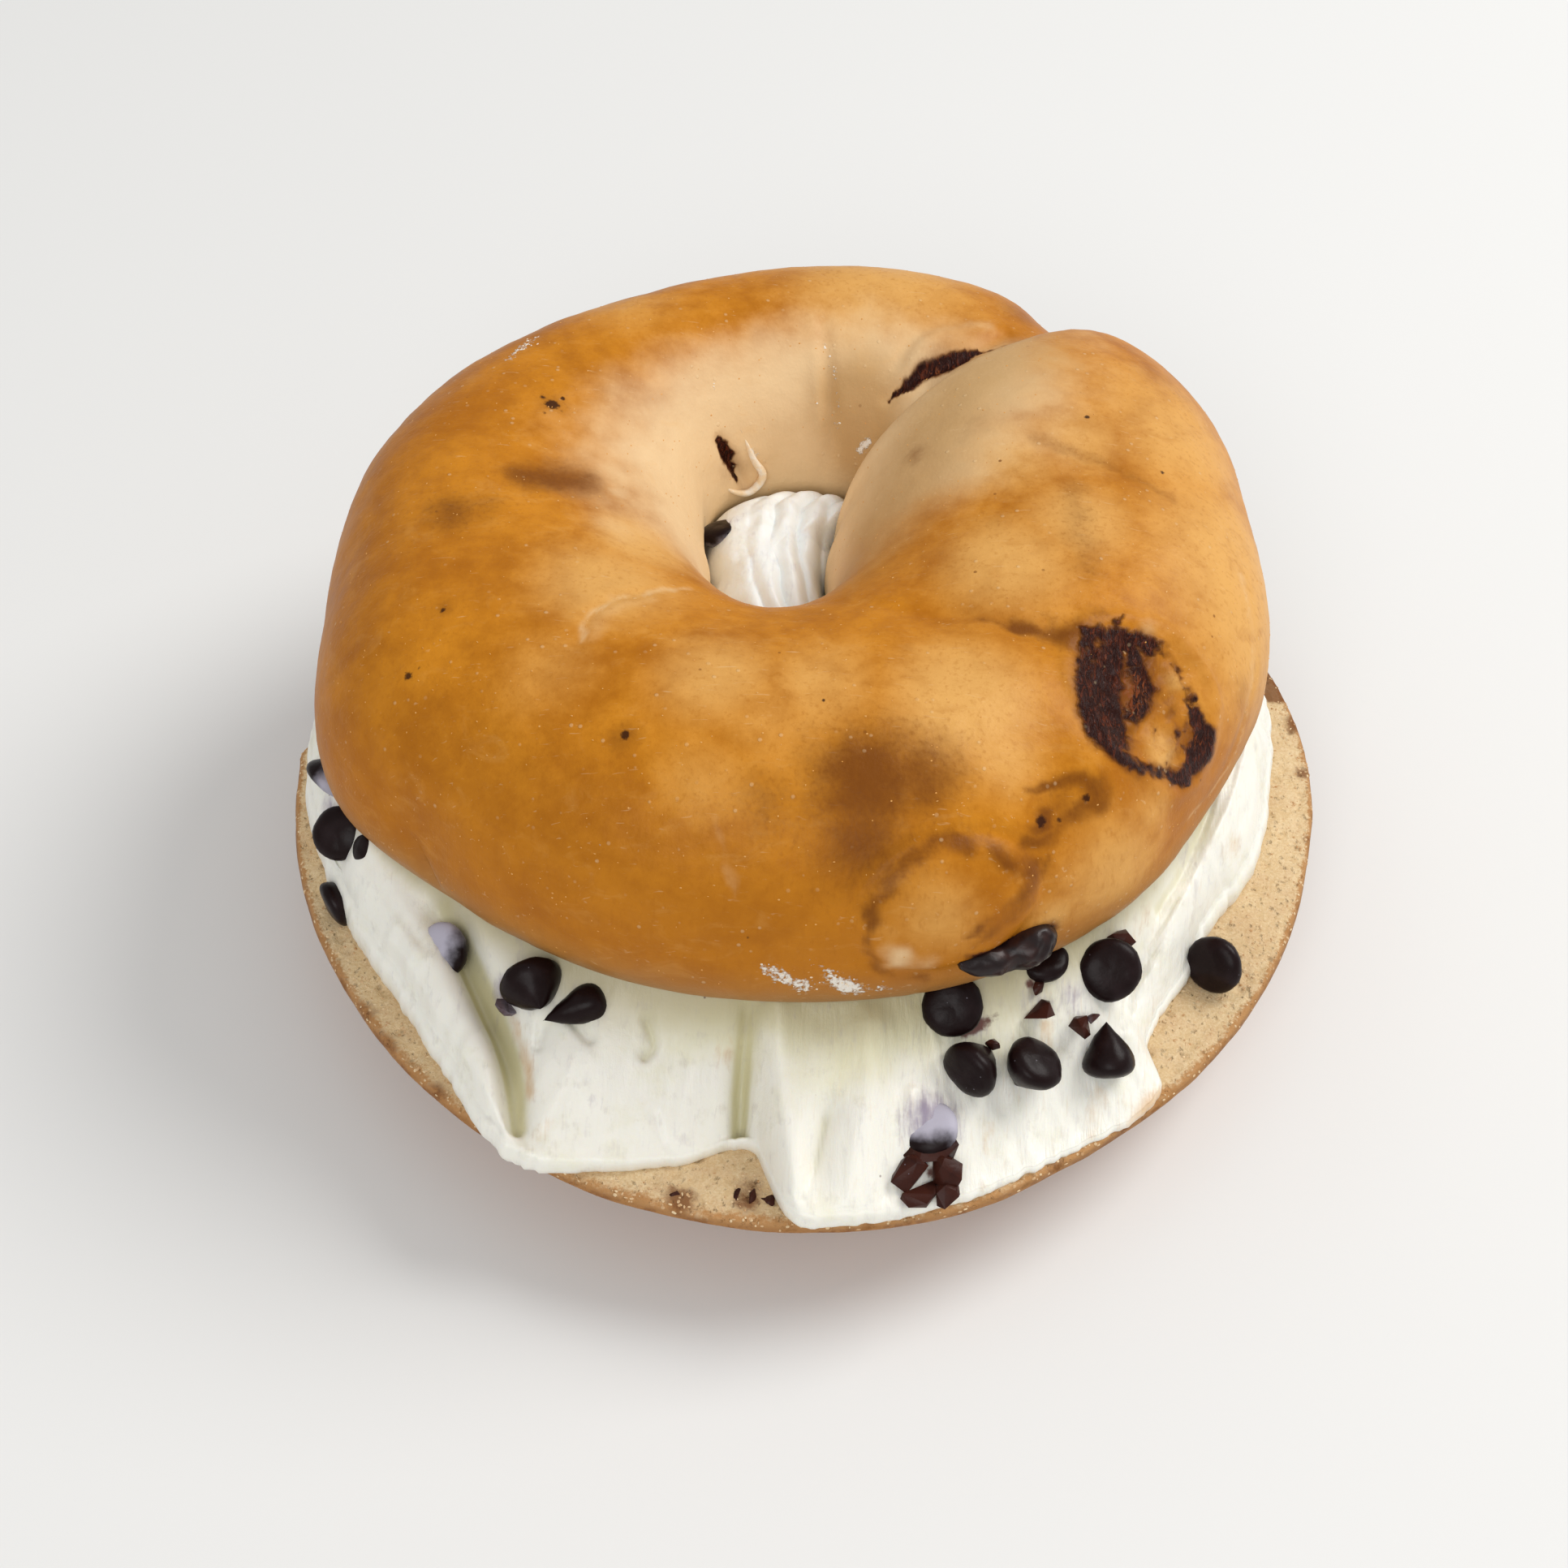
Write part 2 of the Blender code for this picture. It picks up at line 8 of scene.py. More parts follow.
import bmesh
import bpy
import numpy as np
from bpy.props import FloatProperty, FloatVectorProperty, IntProperty, PointerProperty
from mathutils import Matrix, Vector, noise


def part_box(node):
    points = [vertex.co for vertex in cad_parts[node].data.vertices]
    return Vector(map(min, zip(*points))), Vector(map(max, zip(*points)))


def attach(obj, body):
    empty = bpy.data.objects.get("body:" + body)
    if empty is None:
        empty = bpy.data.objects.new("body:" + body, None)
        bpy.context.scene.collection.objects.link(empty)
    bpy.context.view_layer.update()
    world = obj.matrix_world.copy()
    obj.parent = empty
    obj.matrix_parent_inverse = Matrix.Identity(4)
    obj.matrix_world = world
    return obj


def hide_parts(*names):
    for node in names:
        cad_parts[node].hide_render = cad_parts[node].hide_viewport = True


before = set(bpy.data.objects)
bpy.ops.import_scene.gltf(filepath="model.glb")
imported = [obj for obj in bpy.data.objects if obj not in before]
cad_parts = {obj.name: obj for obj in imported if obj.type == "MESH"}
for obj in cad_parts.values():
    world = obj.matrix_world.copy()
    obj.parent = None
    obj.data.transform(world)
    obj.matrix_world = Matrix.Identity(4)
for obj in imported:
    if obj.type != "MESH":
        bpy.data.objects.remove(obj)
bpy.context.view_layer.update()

bl_info = {
    "name": "Chocolate chip bagel with cream cheese",
    "version": (1, 0, 0),
    "blender": (4, 5, 0),
    "location": "3D View > Sidebar > Bagel",
    "description": "Builds the crust, crumb, cream cheese and chocolate of a filled bagel on a plain stage",
    "category": "Add Mesh",
}

MM = 0.001
BODY = "root"
CUT_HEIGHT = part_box("bagel_top")[0].z / MM               # of the top half's cut face
BOTTOM_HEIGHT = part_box("bagel_bottom")[1].z / MM         # of the bottom half's cut face

# Bottom half: a ring with a flat foot, its crust sloping in under the rim.
BOTTOM_RADIUS = 55.8
BOTTOM_RIM_HEIGHT = 12.5
BOTTOM_BULGE = 0.3
BOTTOM_FOOT_RADIUS = 38.0
BOTTOM_FULLNESS = 1.2
BOTTOM_HOLE_CENTRE = (-3.5, 9.0)
BOTTOM_HOLE_RADIUS = 8.0
BOTTOM_EDGE = ((-165, -0.6), (-128, 0.2), (-90, 1.1), (-62, -0.5), (-32, -1.3), (0, -0.1), (20, 0.5),
               (60, 0.4), (90, 1), (130, -0.4), (155, -1.6), (180, -0.3))

# Top half: a fat ring with an off-centre hole. Knots are (azimuth, value).
TOP_CENTRE = (-0.5, 8.2)
TOP_RADIUS = 49.8
TOP_EDGE = ((-170, 1.1), (-150, 4.6), (-130, 2.1), (-110, 1.2), (-90, 0.1), (-50, -0.5), (-30, -1.9),
            (-10, -0.9), (10, -1), (28, 1.8), (44, 2.2), (50, -1.7), (62, 0.8), (80, 0),
            (100, -2.5), (120, -3.8), (140, -2.4), (165, 0.2))
HOLE_CENTRE = (-4.8, 14)
HOLE_EDGE = ((-160, 6.8), (-120, 10.2), (-90, 13.5), (-60, 11.2), (-30, 7.2), (0, 6), (30, 8.2),
             (43, 10), (50, 16.5), (70, 16.5), (90, 15), (120, 12.5), (150, 8.5), (180, 6.8))
CROWN_HEIGHT = ((-150, 23.5), (-90, 25), (-50, 25.2), (-10, 25), (25, 24.5), (43, 22.5), (49, 19.5),
                (70, 20), (100, 20.5), (140, 21.5), (180, 22.5))
CROWN_PLACE = ((-150, 0.56), (-90, 0.55), (-45, 0.52), (0, 0.48), (30, 0.46), (60, 0.50), (100, 0.50),
               (140, 0.56), (180, 0.60))
EQUATOR_HEIGHT = 4.5
EQUATOR_SHARE = 0.12
TUCK = 1.6
OUTER_FULLNESS = 2.25
INNER_FULLNESS = 2.05
# Bumps and hollows: centre, half-width, height.
CRUST_BUMPS = (
    ((31.5, -17, 46.5), 7, -1.4),       # hollow over a melted chip
    ((26.5, -24.5, 46), 3.5, 0.6),        # its raised lower lip
    ((13.8, -37.2, 38.5), 7.5, 0.9),        # blister low on the front
    ((23.6, -29.5, 44.6), 4, -0.6),       # dent beside it
    ((12, -11, 50.8), 5, -0.9),       # fold across the front right
    ((21, -13.6, 50.8), 4, -0.7),
    ((-36.5, -27, 34), 5, -1),      # waist low on the left
    ((28, 12, 50.8), 6, -0.6),        # crease over the right arm
    ((-26.5, 9.5, 47.5), 5, -0.6),        # dimple on the left arm
)
# A pale fold on top at the left, and a crease low on the left.
LIGHT_FOLD = ((-22.4, -16.9, 50.1), (-20.6, -11.6, 49.8), (-16.9, -8.8, 49), (-12.3, -6, 47.1))
LOW_CREASE = ((-38.3, -27.8, 32.8), (-37, -29.2, 29.6), (-36.2, -30.4, 27.4))
# Folds, creases and cracks of the crust: path, half-width, height.
CRUST_FOLDS = (
    (((-1, -4.8, 44.3), (7.4, -9.8, 49.8), (15.1, -11.2, 51.1), (19.7, -13.2, 51.1), (24.3, -14.3, 50.4)),
     1.1, -0.35),
    (((19, 14.6, 50.5), (27.2, 12.3, 50.8), (35.4, 8.5, 49.1)), 1.5, -0.30),
    (LIGHT_FOLD, 0.8, -0.28),
    (((-22.3, 13, 45.7), (-20.8, 10.4, 45.3), (-19.4, 8.4, 44.9)), 0.6, -0.30),
    (((-11, 26.9, 38), (-8.1, 27.6, 31)), 0.7, -1.3),                          # slit in the hole's wall
    (((-0.1, 38.7, 45.3), (0.8, 33, 40.8), (1.5, 29.8, 34.2)), 0.8, -0.55),    # wrinkle down the wall
    (((-1.4, 38.7, 45.3), (-0.6, 33, 40.8), (0, 29.8, 34.2)), 0.7, 0.25),
    (((7.4, 31.7, 41.1), (10.4, 33.1, 43.3), (15.6, 34.7, 45.2), (20.2, 38.7, 45.1)), 0.9, -0.9),  # seam
    (((8.9, 32.2, 42.2), (9.7, 33.9, 43.4), (10.8, 35.9, 44.5), (12.1, 37.3, 45), (15.2, 38.3, 45.3),
      (18.4, 39.5, 45.1)), 1.5, 0.70),                                         # lobe of dough behind it
    (((8.3, 34.6, 43.2), (9.6, 37, 44.3), (12, 38.9, 44.8), (15.6, 40, 44.9)), 0.7, -0.45),
    (LOW_CREASE, 0.9, -1.1),
    (((43.2, 2.8, 43.9), (44.5, -6.7, 37.3), (41, -15.6, 32.5), (36, -23.1, 33.5)), 0.8, -0.25),
)


def around(knots, azimuth):
    """Values on a smooth closed curve through (degrees, value) knots, at azimuths in radians."""
    angles = np.array([knot[0] for knot in knots], float)
    values = np.array([knot[1] for knot in knots], float)
    count = len(knots)
    wrapped = (np.degrees(azimuth) - angles[0]) % 360.0 + angles[0]
    at = np.searchsorted(angles, wrapped, side="right") - 1
    before, after, later = (at - 1) % count, (at + 1) % count, (at + 2) % count

    def span(low, high):
        return (angles[high] - angles[low]) % 360.0

    width = span(at, after)
    slope_here = (values[after] - values[before]) / (span(before, at) + width)
    slope_next = (values[later] - values[at]) / (width + span(after, later))
    step = (wrapped - angles[at]) / width
    return (values[at] * (1 + 2 * step) * (1 - step) ** 2 + values[after] * step ** 2 * (3 - 2 * step)
            + width * (slope_here * step * (1 - step) ** 2 - slope_next * step ** 2 * (1 - step)))


def smooth(low, high, value):
    """0 below low, 1 above high, and a soft step between."""
    step = np.clip((value - low) / (high - low), 0.0, 1.0)
    return step * step * (3 - 2 * step)


def rough(points, size, octaves=2):
    """Smooth random values, about -1 to 1, with lumps of a size, which may differ by axis."""
    scaled = (np.asarray(points) / size).reshape(-1, 3)
    values = [noise.fractal(point, 1.0, 2.0, octaves) for point in scaled.tolist()]
    return np.array(values).reshape(np.asarray(points).shape[:-1])


def to_path(points, path):
    """Distance from each point to a path of straight runs, and how far along it the nearest spot is."""
    nearest = np.full(points.shape[:-1], np.inf)
    share = np.zeros(points.shape[:-1])
    stops = np.array(path, float)
    for number, (start, end) in enumerate(zip(stops, stops[1:])):
        run = end - start
        along = np.clip(((points - start) @ run) / (run @ run), 0.0, 1.0)
        distance = np.linalg.norm(points - start - along[..., None] * run, axis=-1)
        share = np.where(distance < nearest, (number + along) / (len(stops) - 1), share)
        nearest = np.minimum(nearest, distance)
    return nearest, share


def curve(path, steps=6):
    """Points of a smooth curve through the stops of a path."""
    stops = np.array(path, float)
    if len(stops) < 3:
        return stops
    ends = np.concatenate([[2 * stops[0] - stops[1]], stops, [2 * stops[-1] - stops[-2]]])
    share = np.linspace(0.0, 1.0, steps, endpoint=False)[:, None]
    runs = [0.5 * (2 * start + (end - before) * share
                   + (2 * before - 5 * start + 4 * end - after) * share ** 2
                   + (3 * start - before - 3 * end + after) * share ** 3)
            for before, start, end, after in zip(ends, ends[1:], ends[2:], ends[3:])]
    return np.concatenate([*runs, stops[-1:]])


def marks(points, spots):
    """How strongly soft marks cover each point. A mark is a place or a path, a half-width and a strength.

    A path may give a half-width for each of its stops.
    """
    cover = np.zeros(points.shape[:-1])
    for where, width, strength in spots:
        if np.ndim(where) == 1:
            distance = np.linalg.norm(points - np.array(where, float), axis=-1)
        else:
            distance, share = to_path(points, curve(where))
            if np.ndim(width):
                width = np.interp(share, np.linspace(0, 1, len(width)), width)
        cover = np.maximum(cover, strength * np.exp(-(distance / width) ** 2))
    return cover


def warped(points, reach, size):
    """Points shifted a little at random, so that marks measured from them come out ragged."""
    shifts = [rough(points + 50.0 * axis, size) for axis in (1, 2, 3)]
    return points + reach * np.stack(shifts, -1)


def oval(points, centre, half_long, half_short):
    """How far out in an oval patch each point is: 0 in the middle, 1 on its outline."""
    offset = points - np.array(centre, float)
    long_axis, short_axis = np.array(half_long, float), np.array(half_short, float)
    u = offset @ long_axis / (long_axis @ long_axis)
    v = offset @ short_axis / (short_axis @ short_axis)
    depth = np.linalg.norm(offset - u[..., None] * long_axis - v[..., None] * short_axis, axis=-1)
    return np.hypot(u, v) + smooth(4.0, 8.0, depth) * 9.0


def uneven_steps(count, crowding):
    """Azimuths in radians, closer together towards the front."""
    even = np.linspace(-math.pi, math.pi, count, endpoint=False)
    return even - crowding * np.sin(even + math.pi / 2)


# ---------------------------------------------------------------- meshes

def make_mesh(name, points, faces, attributes=None):
    """A smooth-shaded mesh object in metres, its faces turned out, with values stored on its points."""
    mesh = bpy.data.meshes.new(name)
    mesh.from_pydata((np.asarray(points) * MM).tolist(), [], faces)
    for label, values in (attributes or {}).items():
        layer = mesh.attributes.new(label, "FLOAT", "POINT")
        layer.data.foreach_set("value", np.asarray(values, np.float32).ravel())
    turn_out(mesh)
    mesh.shade_smooth()
    return link(name, mesh)


def turn_out(mesh):
    shell = bmesh.new()
    shell.from_mesh(mesh)
    bmesh.ops.recalc_face_normals(shell, faces=shell.faces[:])
    if shell.calc_volume(signed=True) < 0:
        bmesh.ops.reverse_faces(shell, faces=shell.faces[:])
    shell.to_mesh(mesh)
    shell.free()


def link(name, data):
    """An object that holds a mesh, a light or a camera, put in the scene."""
    piece = bpy.data.objects.new(name, data)
    bpy.context.scene.collection.objects.link(piece)
    return piece


def lattice(grid, closed):
    """Points and faces of rings of points: closed joins the last ring to the first, else both are capped."""
    count, around_count = grid.shape[:2]
    index = np.arange(count * around_count).reshape(count, around_count)
    lows = index if closed else index[:-1]
    highs = np.roll(index, -1, axis=0) if closed else index[1:]
    quads = np.stack([lows, np.roll(lows, -1, axis=1), np.roll(highs, -1, axis=1), highs], -1)
    faces = quads.reshape(-1, 4).tolist()
    points = grid.reshape(-1, grid.shape[2])
    if not closed:
        for row, turned in ((0, True), (count - 1, False)):
            middle = len(points)
            points = np.concatenate([points, grid[row].mean(0)[None]])
            edge = index[row]
            for here, following in zip(edge.tolist(), np.roll(edge, -1).tolist()):
                faces.append((middle, following, here) if turned else (middle, here, following))
    return points, faces


def dress(piece, material, slot, *nodes):
    """Gives a finished piece its material and its body, and hides the nodes that it stands for. The slot is
    not used.
    """
    piece.data.materials.clear()
    piece.data.materials.append(material)
    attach(piece, BODY)
    if nodes:
        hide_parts(*nodes)


# ---------------------------------------------------------------- node trees

class Value:
    """A node socket that reads like a number: arithmetic on it adds Math nodes."""

    def __init__(self, graph, socket):
        self.graph = graph
        self.socket = socket

    def least(self, other):
        return self.graph.math("MINIMUM", self, other)

    def most(self, other):
        return self.graph.math("MAXIMUM", self, other)

    def step(self, low, high):
        """0 at low, 1 at high, soft between. low may be the larger."""
        return self.graph.add("ShaderNodeMapRange", {"interpolation_type": "SMOOTHSTEP"},
                              {"Value": self, "From Min": low, "From Max": high})


def arithmetic(operation, turned):
    """A method for one of Python's operators, which adds a Math node. turned is for a number on the left."""
    def method(self, other):
        return self.graph.math(operation, *((other, self) if turned else (self, other)))
    return method


for sign, operation in (("add", "ADD"), ("sub", "SUBTRACT"), ("mul", "MULTIPLY"), ("truediv", "DIVIDE"),
                        ("mod", "MODULO")):
    setattr(Value, f"__{sign}__", arithmetic(operation, False))
    setattr(Value, f"__r{sign}__", arithmetic(operation, True))


class Graph:
    """A node tree and the one method that adds nodes to it."""

    def __init__(self, tree):
        self.tree = tree

    def add(self, kind, settings=None, values=None, output=0):
        """Adds a node, sets it up, fills or links its sockets and returns one of its outputs."""
        made = self.tree.nodes.new(kind)
        for label, setting in (settings or {}).items():
            if label == "knots":
                self.set_knots(made.mapping, setting)
            else:
                setattr(made, label, setting)
        for label, value in (values or {}).items():
            socket = made.inputs[label]
            if isinstance(value, Value):
                self.tree.links.new(value.socket, socket)
            elif socket.type == "RGBA":
                socket.default_value = (*value, 1.0)
            else:
                socket.default_value = value
        if not made.outputs:
            return made
        return Value(self, made.outputs[output])

    @staticmethod
    def set_knots(mapping, knots):
        curve = mapping.curves[0]
        while len(curve.points) < len(knots):
            curve.points.new(1.0, 1.0)
        for point, knot in zip(curve.points, knots):
            point.location = knot
        mapping.update()

    def math(self, operation, *values):
        return self.add("ShaderNodeMath", {"operation": operation}, dict(enumerate(values)))

    def mix(self, share, first, second):
        """A colour between two colours."""
        return self.add("ShaderNodeMix", {"data_type": "RGBA"}, {0: share, 6: first, 7: second}, 2)

    def coats(self, color, *coats):
        """A colour with coats laid over it in turn: how thick each is, from 0 to 1, and its colour."""
        for share, coat in coats:
            color = self.mix(share, color, coat)
        return color

    def vector(self, operation, *values):
        return self.add("ShaderNodeVectorMath", {"operation": operation}, dict(enumerate(values)))

    def part(self, vector, axis):
        """One of a vector's three numbers."""
        return self.add("ShaderNodeSeparateXYZ", None, {0: vector}, axis)


class Finish(Graph):
    """A material: a Principled surface whose colour, roughness and bump are built from patterns."""

    def __init__(self, name):
        self.material = bpy.data.materials.new(name)
        self.material.use_nodes = True
        super().__init__(self.material.node_tree)
        self.surface = self.tree.nodes["Principled BSDF"]
        spot = self.add("ShaderNodeTexCoord", output="Object")
        self.place = self.add("ShaderNodeVectorMath", {"operation": "SCALE"}, {0: spot, "Scale": 1 / MM})

    def noise(self, size, detail=3.0, roughness=0.5, stretch=None, distortion=0.0, shift=0.0):
        """Random values from 0 to 1 with lumps of a size in millimetres, longer along stretched axes."""
        place = self.place
        if stretch or shift:
            scale = tuple(1 / part for part in (stretch or (1, 1, 1)))
            place = self.add("ShaderNodeMapping", {"vector_type": "POINT"},
                             {"Vector": place, "Location": (shift, shift, shift), "Scale": scale})
        return self.add("ShaderNodeTexNoise", {"noise_dimensions": "3D"},
                        {"Vector": place, "Scale": 1 / size, "Detail": detail, "Roughness": roughness,
                         "Distortion": distortion})

    def cells(self, size, shift=0.0):
        """Distance to the nearest of many random points, about a size apart, in cell widths."""
        place = self.vector("ADD", self.place, (shift, shift, shift))
        return self.add("ShaderNodeTexVoronoi", None, {"Vector": place, "Scale": 1 / size}, "Distance")

    def away_from(self, place):
        """Distance to a place, in millimetres."""
        return self.add("ShaderNodeVectorMath", {"operation": "DISTANCE"}, {0: self.place, 1: place}, "Value")

    def height(self):
        return self.part(self.place, 2)

    def attribute(self, name):
        return self.add("ShaderNodeAttribute", {"attribute_name": name}, output="Fac")

    def bump(self, heights, depth):
        """The surface's normal, bent by heights from 0 to 1 that stand for a depth in millimetres."""
        return self.add("ShaderNodeBump", None, {"Height": heights, "Distance": depth * MM, "Strength": 1.0})

    def finish(self, color, roughness, normal=None, **constants):
        """Feeds the surface. Constants are set on its own sockets."""
        links = {"Base Color": color, "Roughness": roughness, "Normal": normal}
        for label, value in links.items():
            if isinstance(value, Value):
                self.tree.links.new(value.socket, self.surface.inputs[label])
            elif value is not None:
                self.surface.inputs[label].default_value = value
        for label, value in constants.items():
            self.surface.inputs[label.replace("_", " ")].default_value = value
        return self.material


class Recipe(Graph):
    """A Geometry Nodes tree with named inputs."""

    KINDS = {"float": "NodeSocketFloat", "int": "NodeSocketInt", "object": "NodeSocketObject",
             "material": "NodeSocketMaterial"}

    def __init__(self, name, **inputs):
        super().__init__(bpy.data.node_groups.new(name, "GeometryNodeTree"))
        interface = self.tree.interface
        interface.new_socket("Geometry", in_out="INPUT", socket_type="NodeSocketGeometry")
        for label, kind in inputs.items():
            interface.new_socket(label, in_out="INPUT", socket_type=self.KINDS[kind])
        interface.new_socket("Geometry", in_out="OUTPUT", socket_type="NodeSocketGeometry")
        self.source = self.tree.nodes.new("NodeGroupInput")

    def given(self, label):
        return Value(self, self.source.outputs[label])

    def carried(self, label, kind="FLOAT"):
        """A value that the points carry."""
        return self.add("GeometryNodeInputNamedAttribute", {"data_type": kind}, {"Name": label})

    def raised(self, geometry, height):
        """Geometry moved along its own normals."""
        normal = self.add("GeometryNodeInputNormal")
        away = self.add("ShaderNodeVectorMath", {"operation": "SCALE"}, {0: normal, "Scale": height})
        return self.add("GeometryNodeSetPosition", None, {"Geometry": geometry, "Offset": away})

    def close(self, geometry, material):
        """Ends the tree: copies made real, and the material set."""
        real = self.add("GeometryNodeRealizeInstances", None, {0: geometry})
        finished = self.add("GeometryNodeSetMaterial", None, {"Geometry": real, "Material": material})
        self.add("NodeGroupOutput", None, {"Geometry": finished})

    def run(self, name, base, **values):
        """A plain mesh object that holds what the tree makes of a base object."""
        modifier = base.modifiers.new(name, "NODES")
        modifier.node_group = self.tree
        for item in self.tree.interface.items_tree:
            if item.in_out == "INPUT" and item.name in values:
                modifier[item.identifier] = values[item.name]
        seen = base.evaluated_get(bpy.context.evaluated_depsgraph_get())
        mesh = bpy.data.meshes.new_from_object(seen)
        base.modifiers.remove(modifier)
        mesh.name = name
        if not mesh.polygons:
            raise RuntimeError(name + " came out empty")
        return link(name, mesh)


def point_cloud(name, points, attributes):
    """A mesh of loose points in metres that carries values for a recipe."""
    mesh = bpy.data.meshes.new(name)
    mesh.from_pydata((np.array(points, float) * MM).tolist(), [], [])
    for label, values in attributes.items():
        values = np.array(values, np.float32)
        kind, field = ("FLOAT_VECTOR", "vector") if values.ndim == 2 else ("FLOAT", "value")
        mesh.attributes.new(label, kind, "POINT").data.foreach_set(field, values.ravel())
    return link(name, mesh)


def discard(piece):
    mesh = piece.data
    bpy.data.objects.remove(piece, do_unlink=True)
    bpy.data.meshes.remove(mesh)


# ---------------------------------------------------------------- sizes and colours a user may change

def shade(name, description, default):
    return FloatVectorProperty(name=name, description=description, default=default, size=3, min=0.0,
                               max=1.0, subtype="COLOR")


class CrustLook(bpy.types.PropertyGroup):
    """The baked skin of both halves."""
    golden: shade("Golden", "Main colour of the crust", (0.60, 0.225, 0.012))
    # This colour is also laid as a painted sheen on the broad patches on top of the crust.
    honey: shade("Honey", "Lighter crust on the sides that brown less", (0.74, 0.40, 0.115))
    amber: shade("Amber", "Deeper baked areas", (0.40, 0.130, 0.005))
    pale: shade("Pale", "Little baked skin round the hole", (0.83, 0.61, 0.35))
    # Painted shade: the skin that faces into the hole is darkened with this colour.
    tan: shade("Tan", "Duller skin that faces into the hole", (0.43, 0.225, 0.060))
    low: shade("Low band", "Duller skin near the cut", (0.36, 0.180, 0.060))
    brown: shade("Brown", "Dark baked patches", (0.17, 0.048, 0.003))
    char: shade("Chocolate stain", "Chocolate that melted through the skin", (0.022, 0.004, 0.002))
    ember: shade("Red edge", "Thin chocolate over the skin", (0.24, 0.046, 0.012))
    flour: shade("Flour", "Dust and torn dough", (0.86, 0.82, 0.74))
    unevenness: FloatProperty(name="Unevenness", description="Height of the skin's soft waves in mm",
                              default=0.16, min=0.0, max=1.0)


class CrumbLook(bpy.types.PropertyGroup):
    """The toasted cut face."""
    sand: shade("Sand", "Main colour of the crumb", (0.66, 0.47, 0.25))
    light: shade("Light", "Pale walls between the pores", (0.80, 0.63, 0.39))
    pore: shade("Pore", "Bottoms of the pores", (0.20, 0.125, 0.055))
    # Painted shade: the dark colour laid into the crumb's pores.
    toast: shade("Toast", "Browned rim", (0.42, 0.180, 0.045))
    steps: IntProperty(name="Steps around", description="Points round the bottom half", default=600, min=60)


class CreamLook(bpy.types.PropertyGroup):
    """The cream cheese."""
    white: shade("White", "Main colour", (0.90, 0.885, 0.80))
    # Also laid as painted shade: the cream near the crust's edge and in its creases takes this yellow tint.
    warm: shade("Warm", "Thick cream in the shade of the crust", (0.79, 0.76, 0.52))
    # Painted shadow: a dark colour laid on the cream under the crust's edge and in its deepest creases.
    deep: shade("Deep", "Cream in the gap under the crust", (0.44, 0.38, 0.20))
    # Painted light: the cream in the hole gets a cooler, brighter colour that takes away the warm light the
    # crust reflects onto it.
    clear: shade("Clear", "Cream in the hole, among warm reflections", (0.90, 0.93, 0.91))
    violet: shade("Violet", "Cream over and beside chocolate", (0.30, 0.25, 0.34))
    stain: shade("Stain", "Caramel coloured smears", (0.66, 0.40, 0.17))
    cocoa: shade("Cocoa", "Smears of melted chocolate", (0.12, 0.035, 0.022))
    streaks: FloatProperty(name="Streaks", description="Height of the fine knife marks in mm",
                           default=0.24, min=0.0, max=1.0)


class ChocolateLook(bpy.types.PropertyGroup):
    """The chips and the broken bits."""
    dark: shade("Dark", "Clean chocolate", (0.010, 0.004, 0.004))
    bloom: shade("Bloom", "Greyed skin", (0.020, 0.011, 0.012))
    coat: shade("Cream film", "Cream smeared over a chip", (0.50, 0.48, 0.57))
    broken: shade("Broken", "Broken and melted chocolate", (0.050, 0.014, 0.009))
    radius: FloatProperty(name="Chip radius", description="Of a middle-sized chip", default=3.2 * MM,
                          min=0.001, max=0.01, unit="LENGTH")
    height: FloatProperty(name="Chip height", description="Of a middle-sized chip", default=4.8 * MM,
                          min=0.001, max=0.02, unit="LENGTH")


class StageLook(bpy.types.PropertyGroup):
    """Floor, lights and camera."""
    floor: shade("Floor", "Plain pale floor", (0.80, 0.80, 0.79))
    sky: FloatProperty(name="Soft light", description="Strength of the even white surround", default=0.50)
    key: FloatProperty(name="Main light", description="Power of the large light at the right", default=6.2,
                       unit="POWER")
    fill: FloatProperty(name="Front light", description="Power of the light behind the camera", default=3.2,
                        unit="POWER")


# ---------------------------------------------------------------- top half

TOP_AROUND = 470
TOP_ACROSS = 186
# How far the little baked skin reaches from the hole's cut edge, as a share of the section.
PALE_REACH = ((-170, 0.33), (-140, 0.28), (-110, 0.21), (-90, 0.19), (-60, 0.21), (-30, 0.31), (0, 0.42),
              (25, 0.49), (42, 0.54), (48, 0.50), (60, 0.44), (85, 0.41), (105, 0.38), (130, 0.37),
              (160, 0.37))
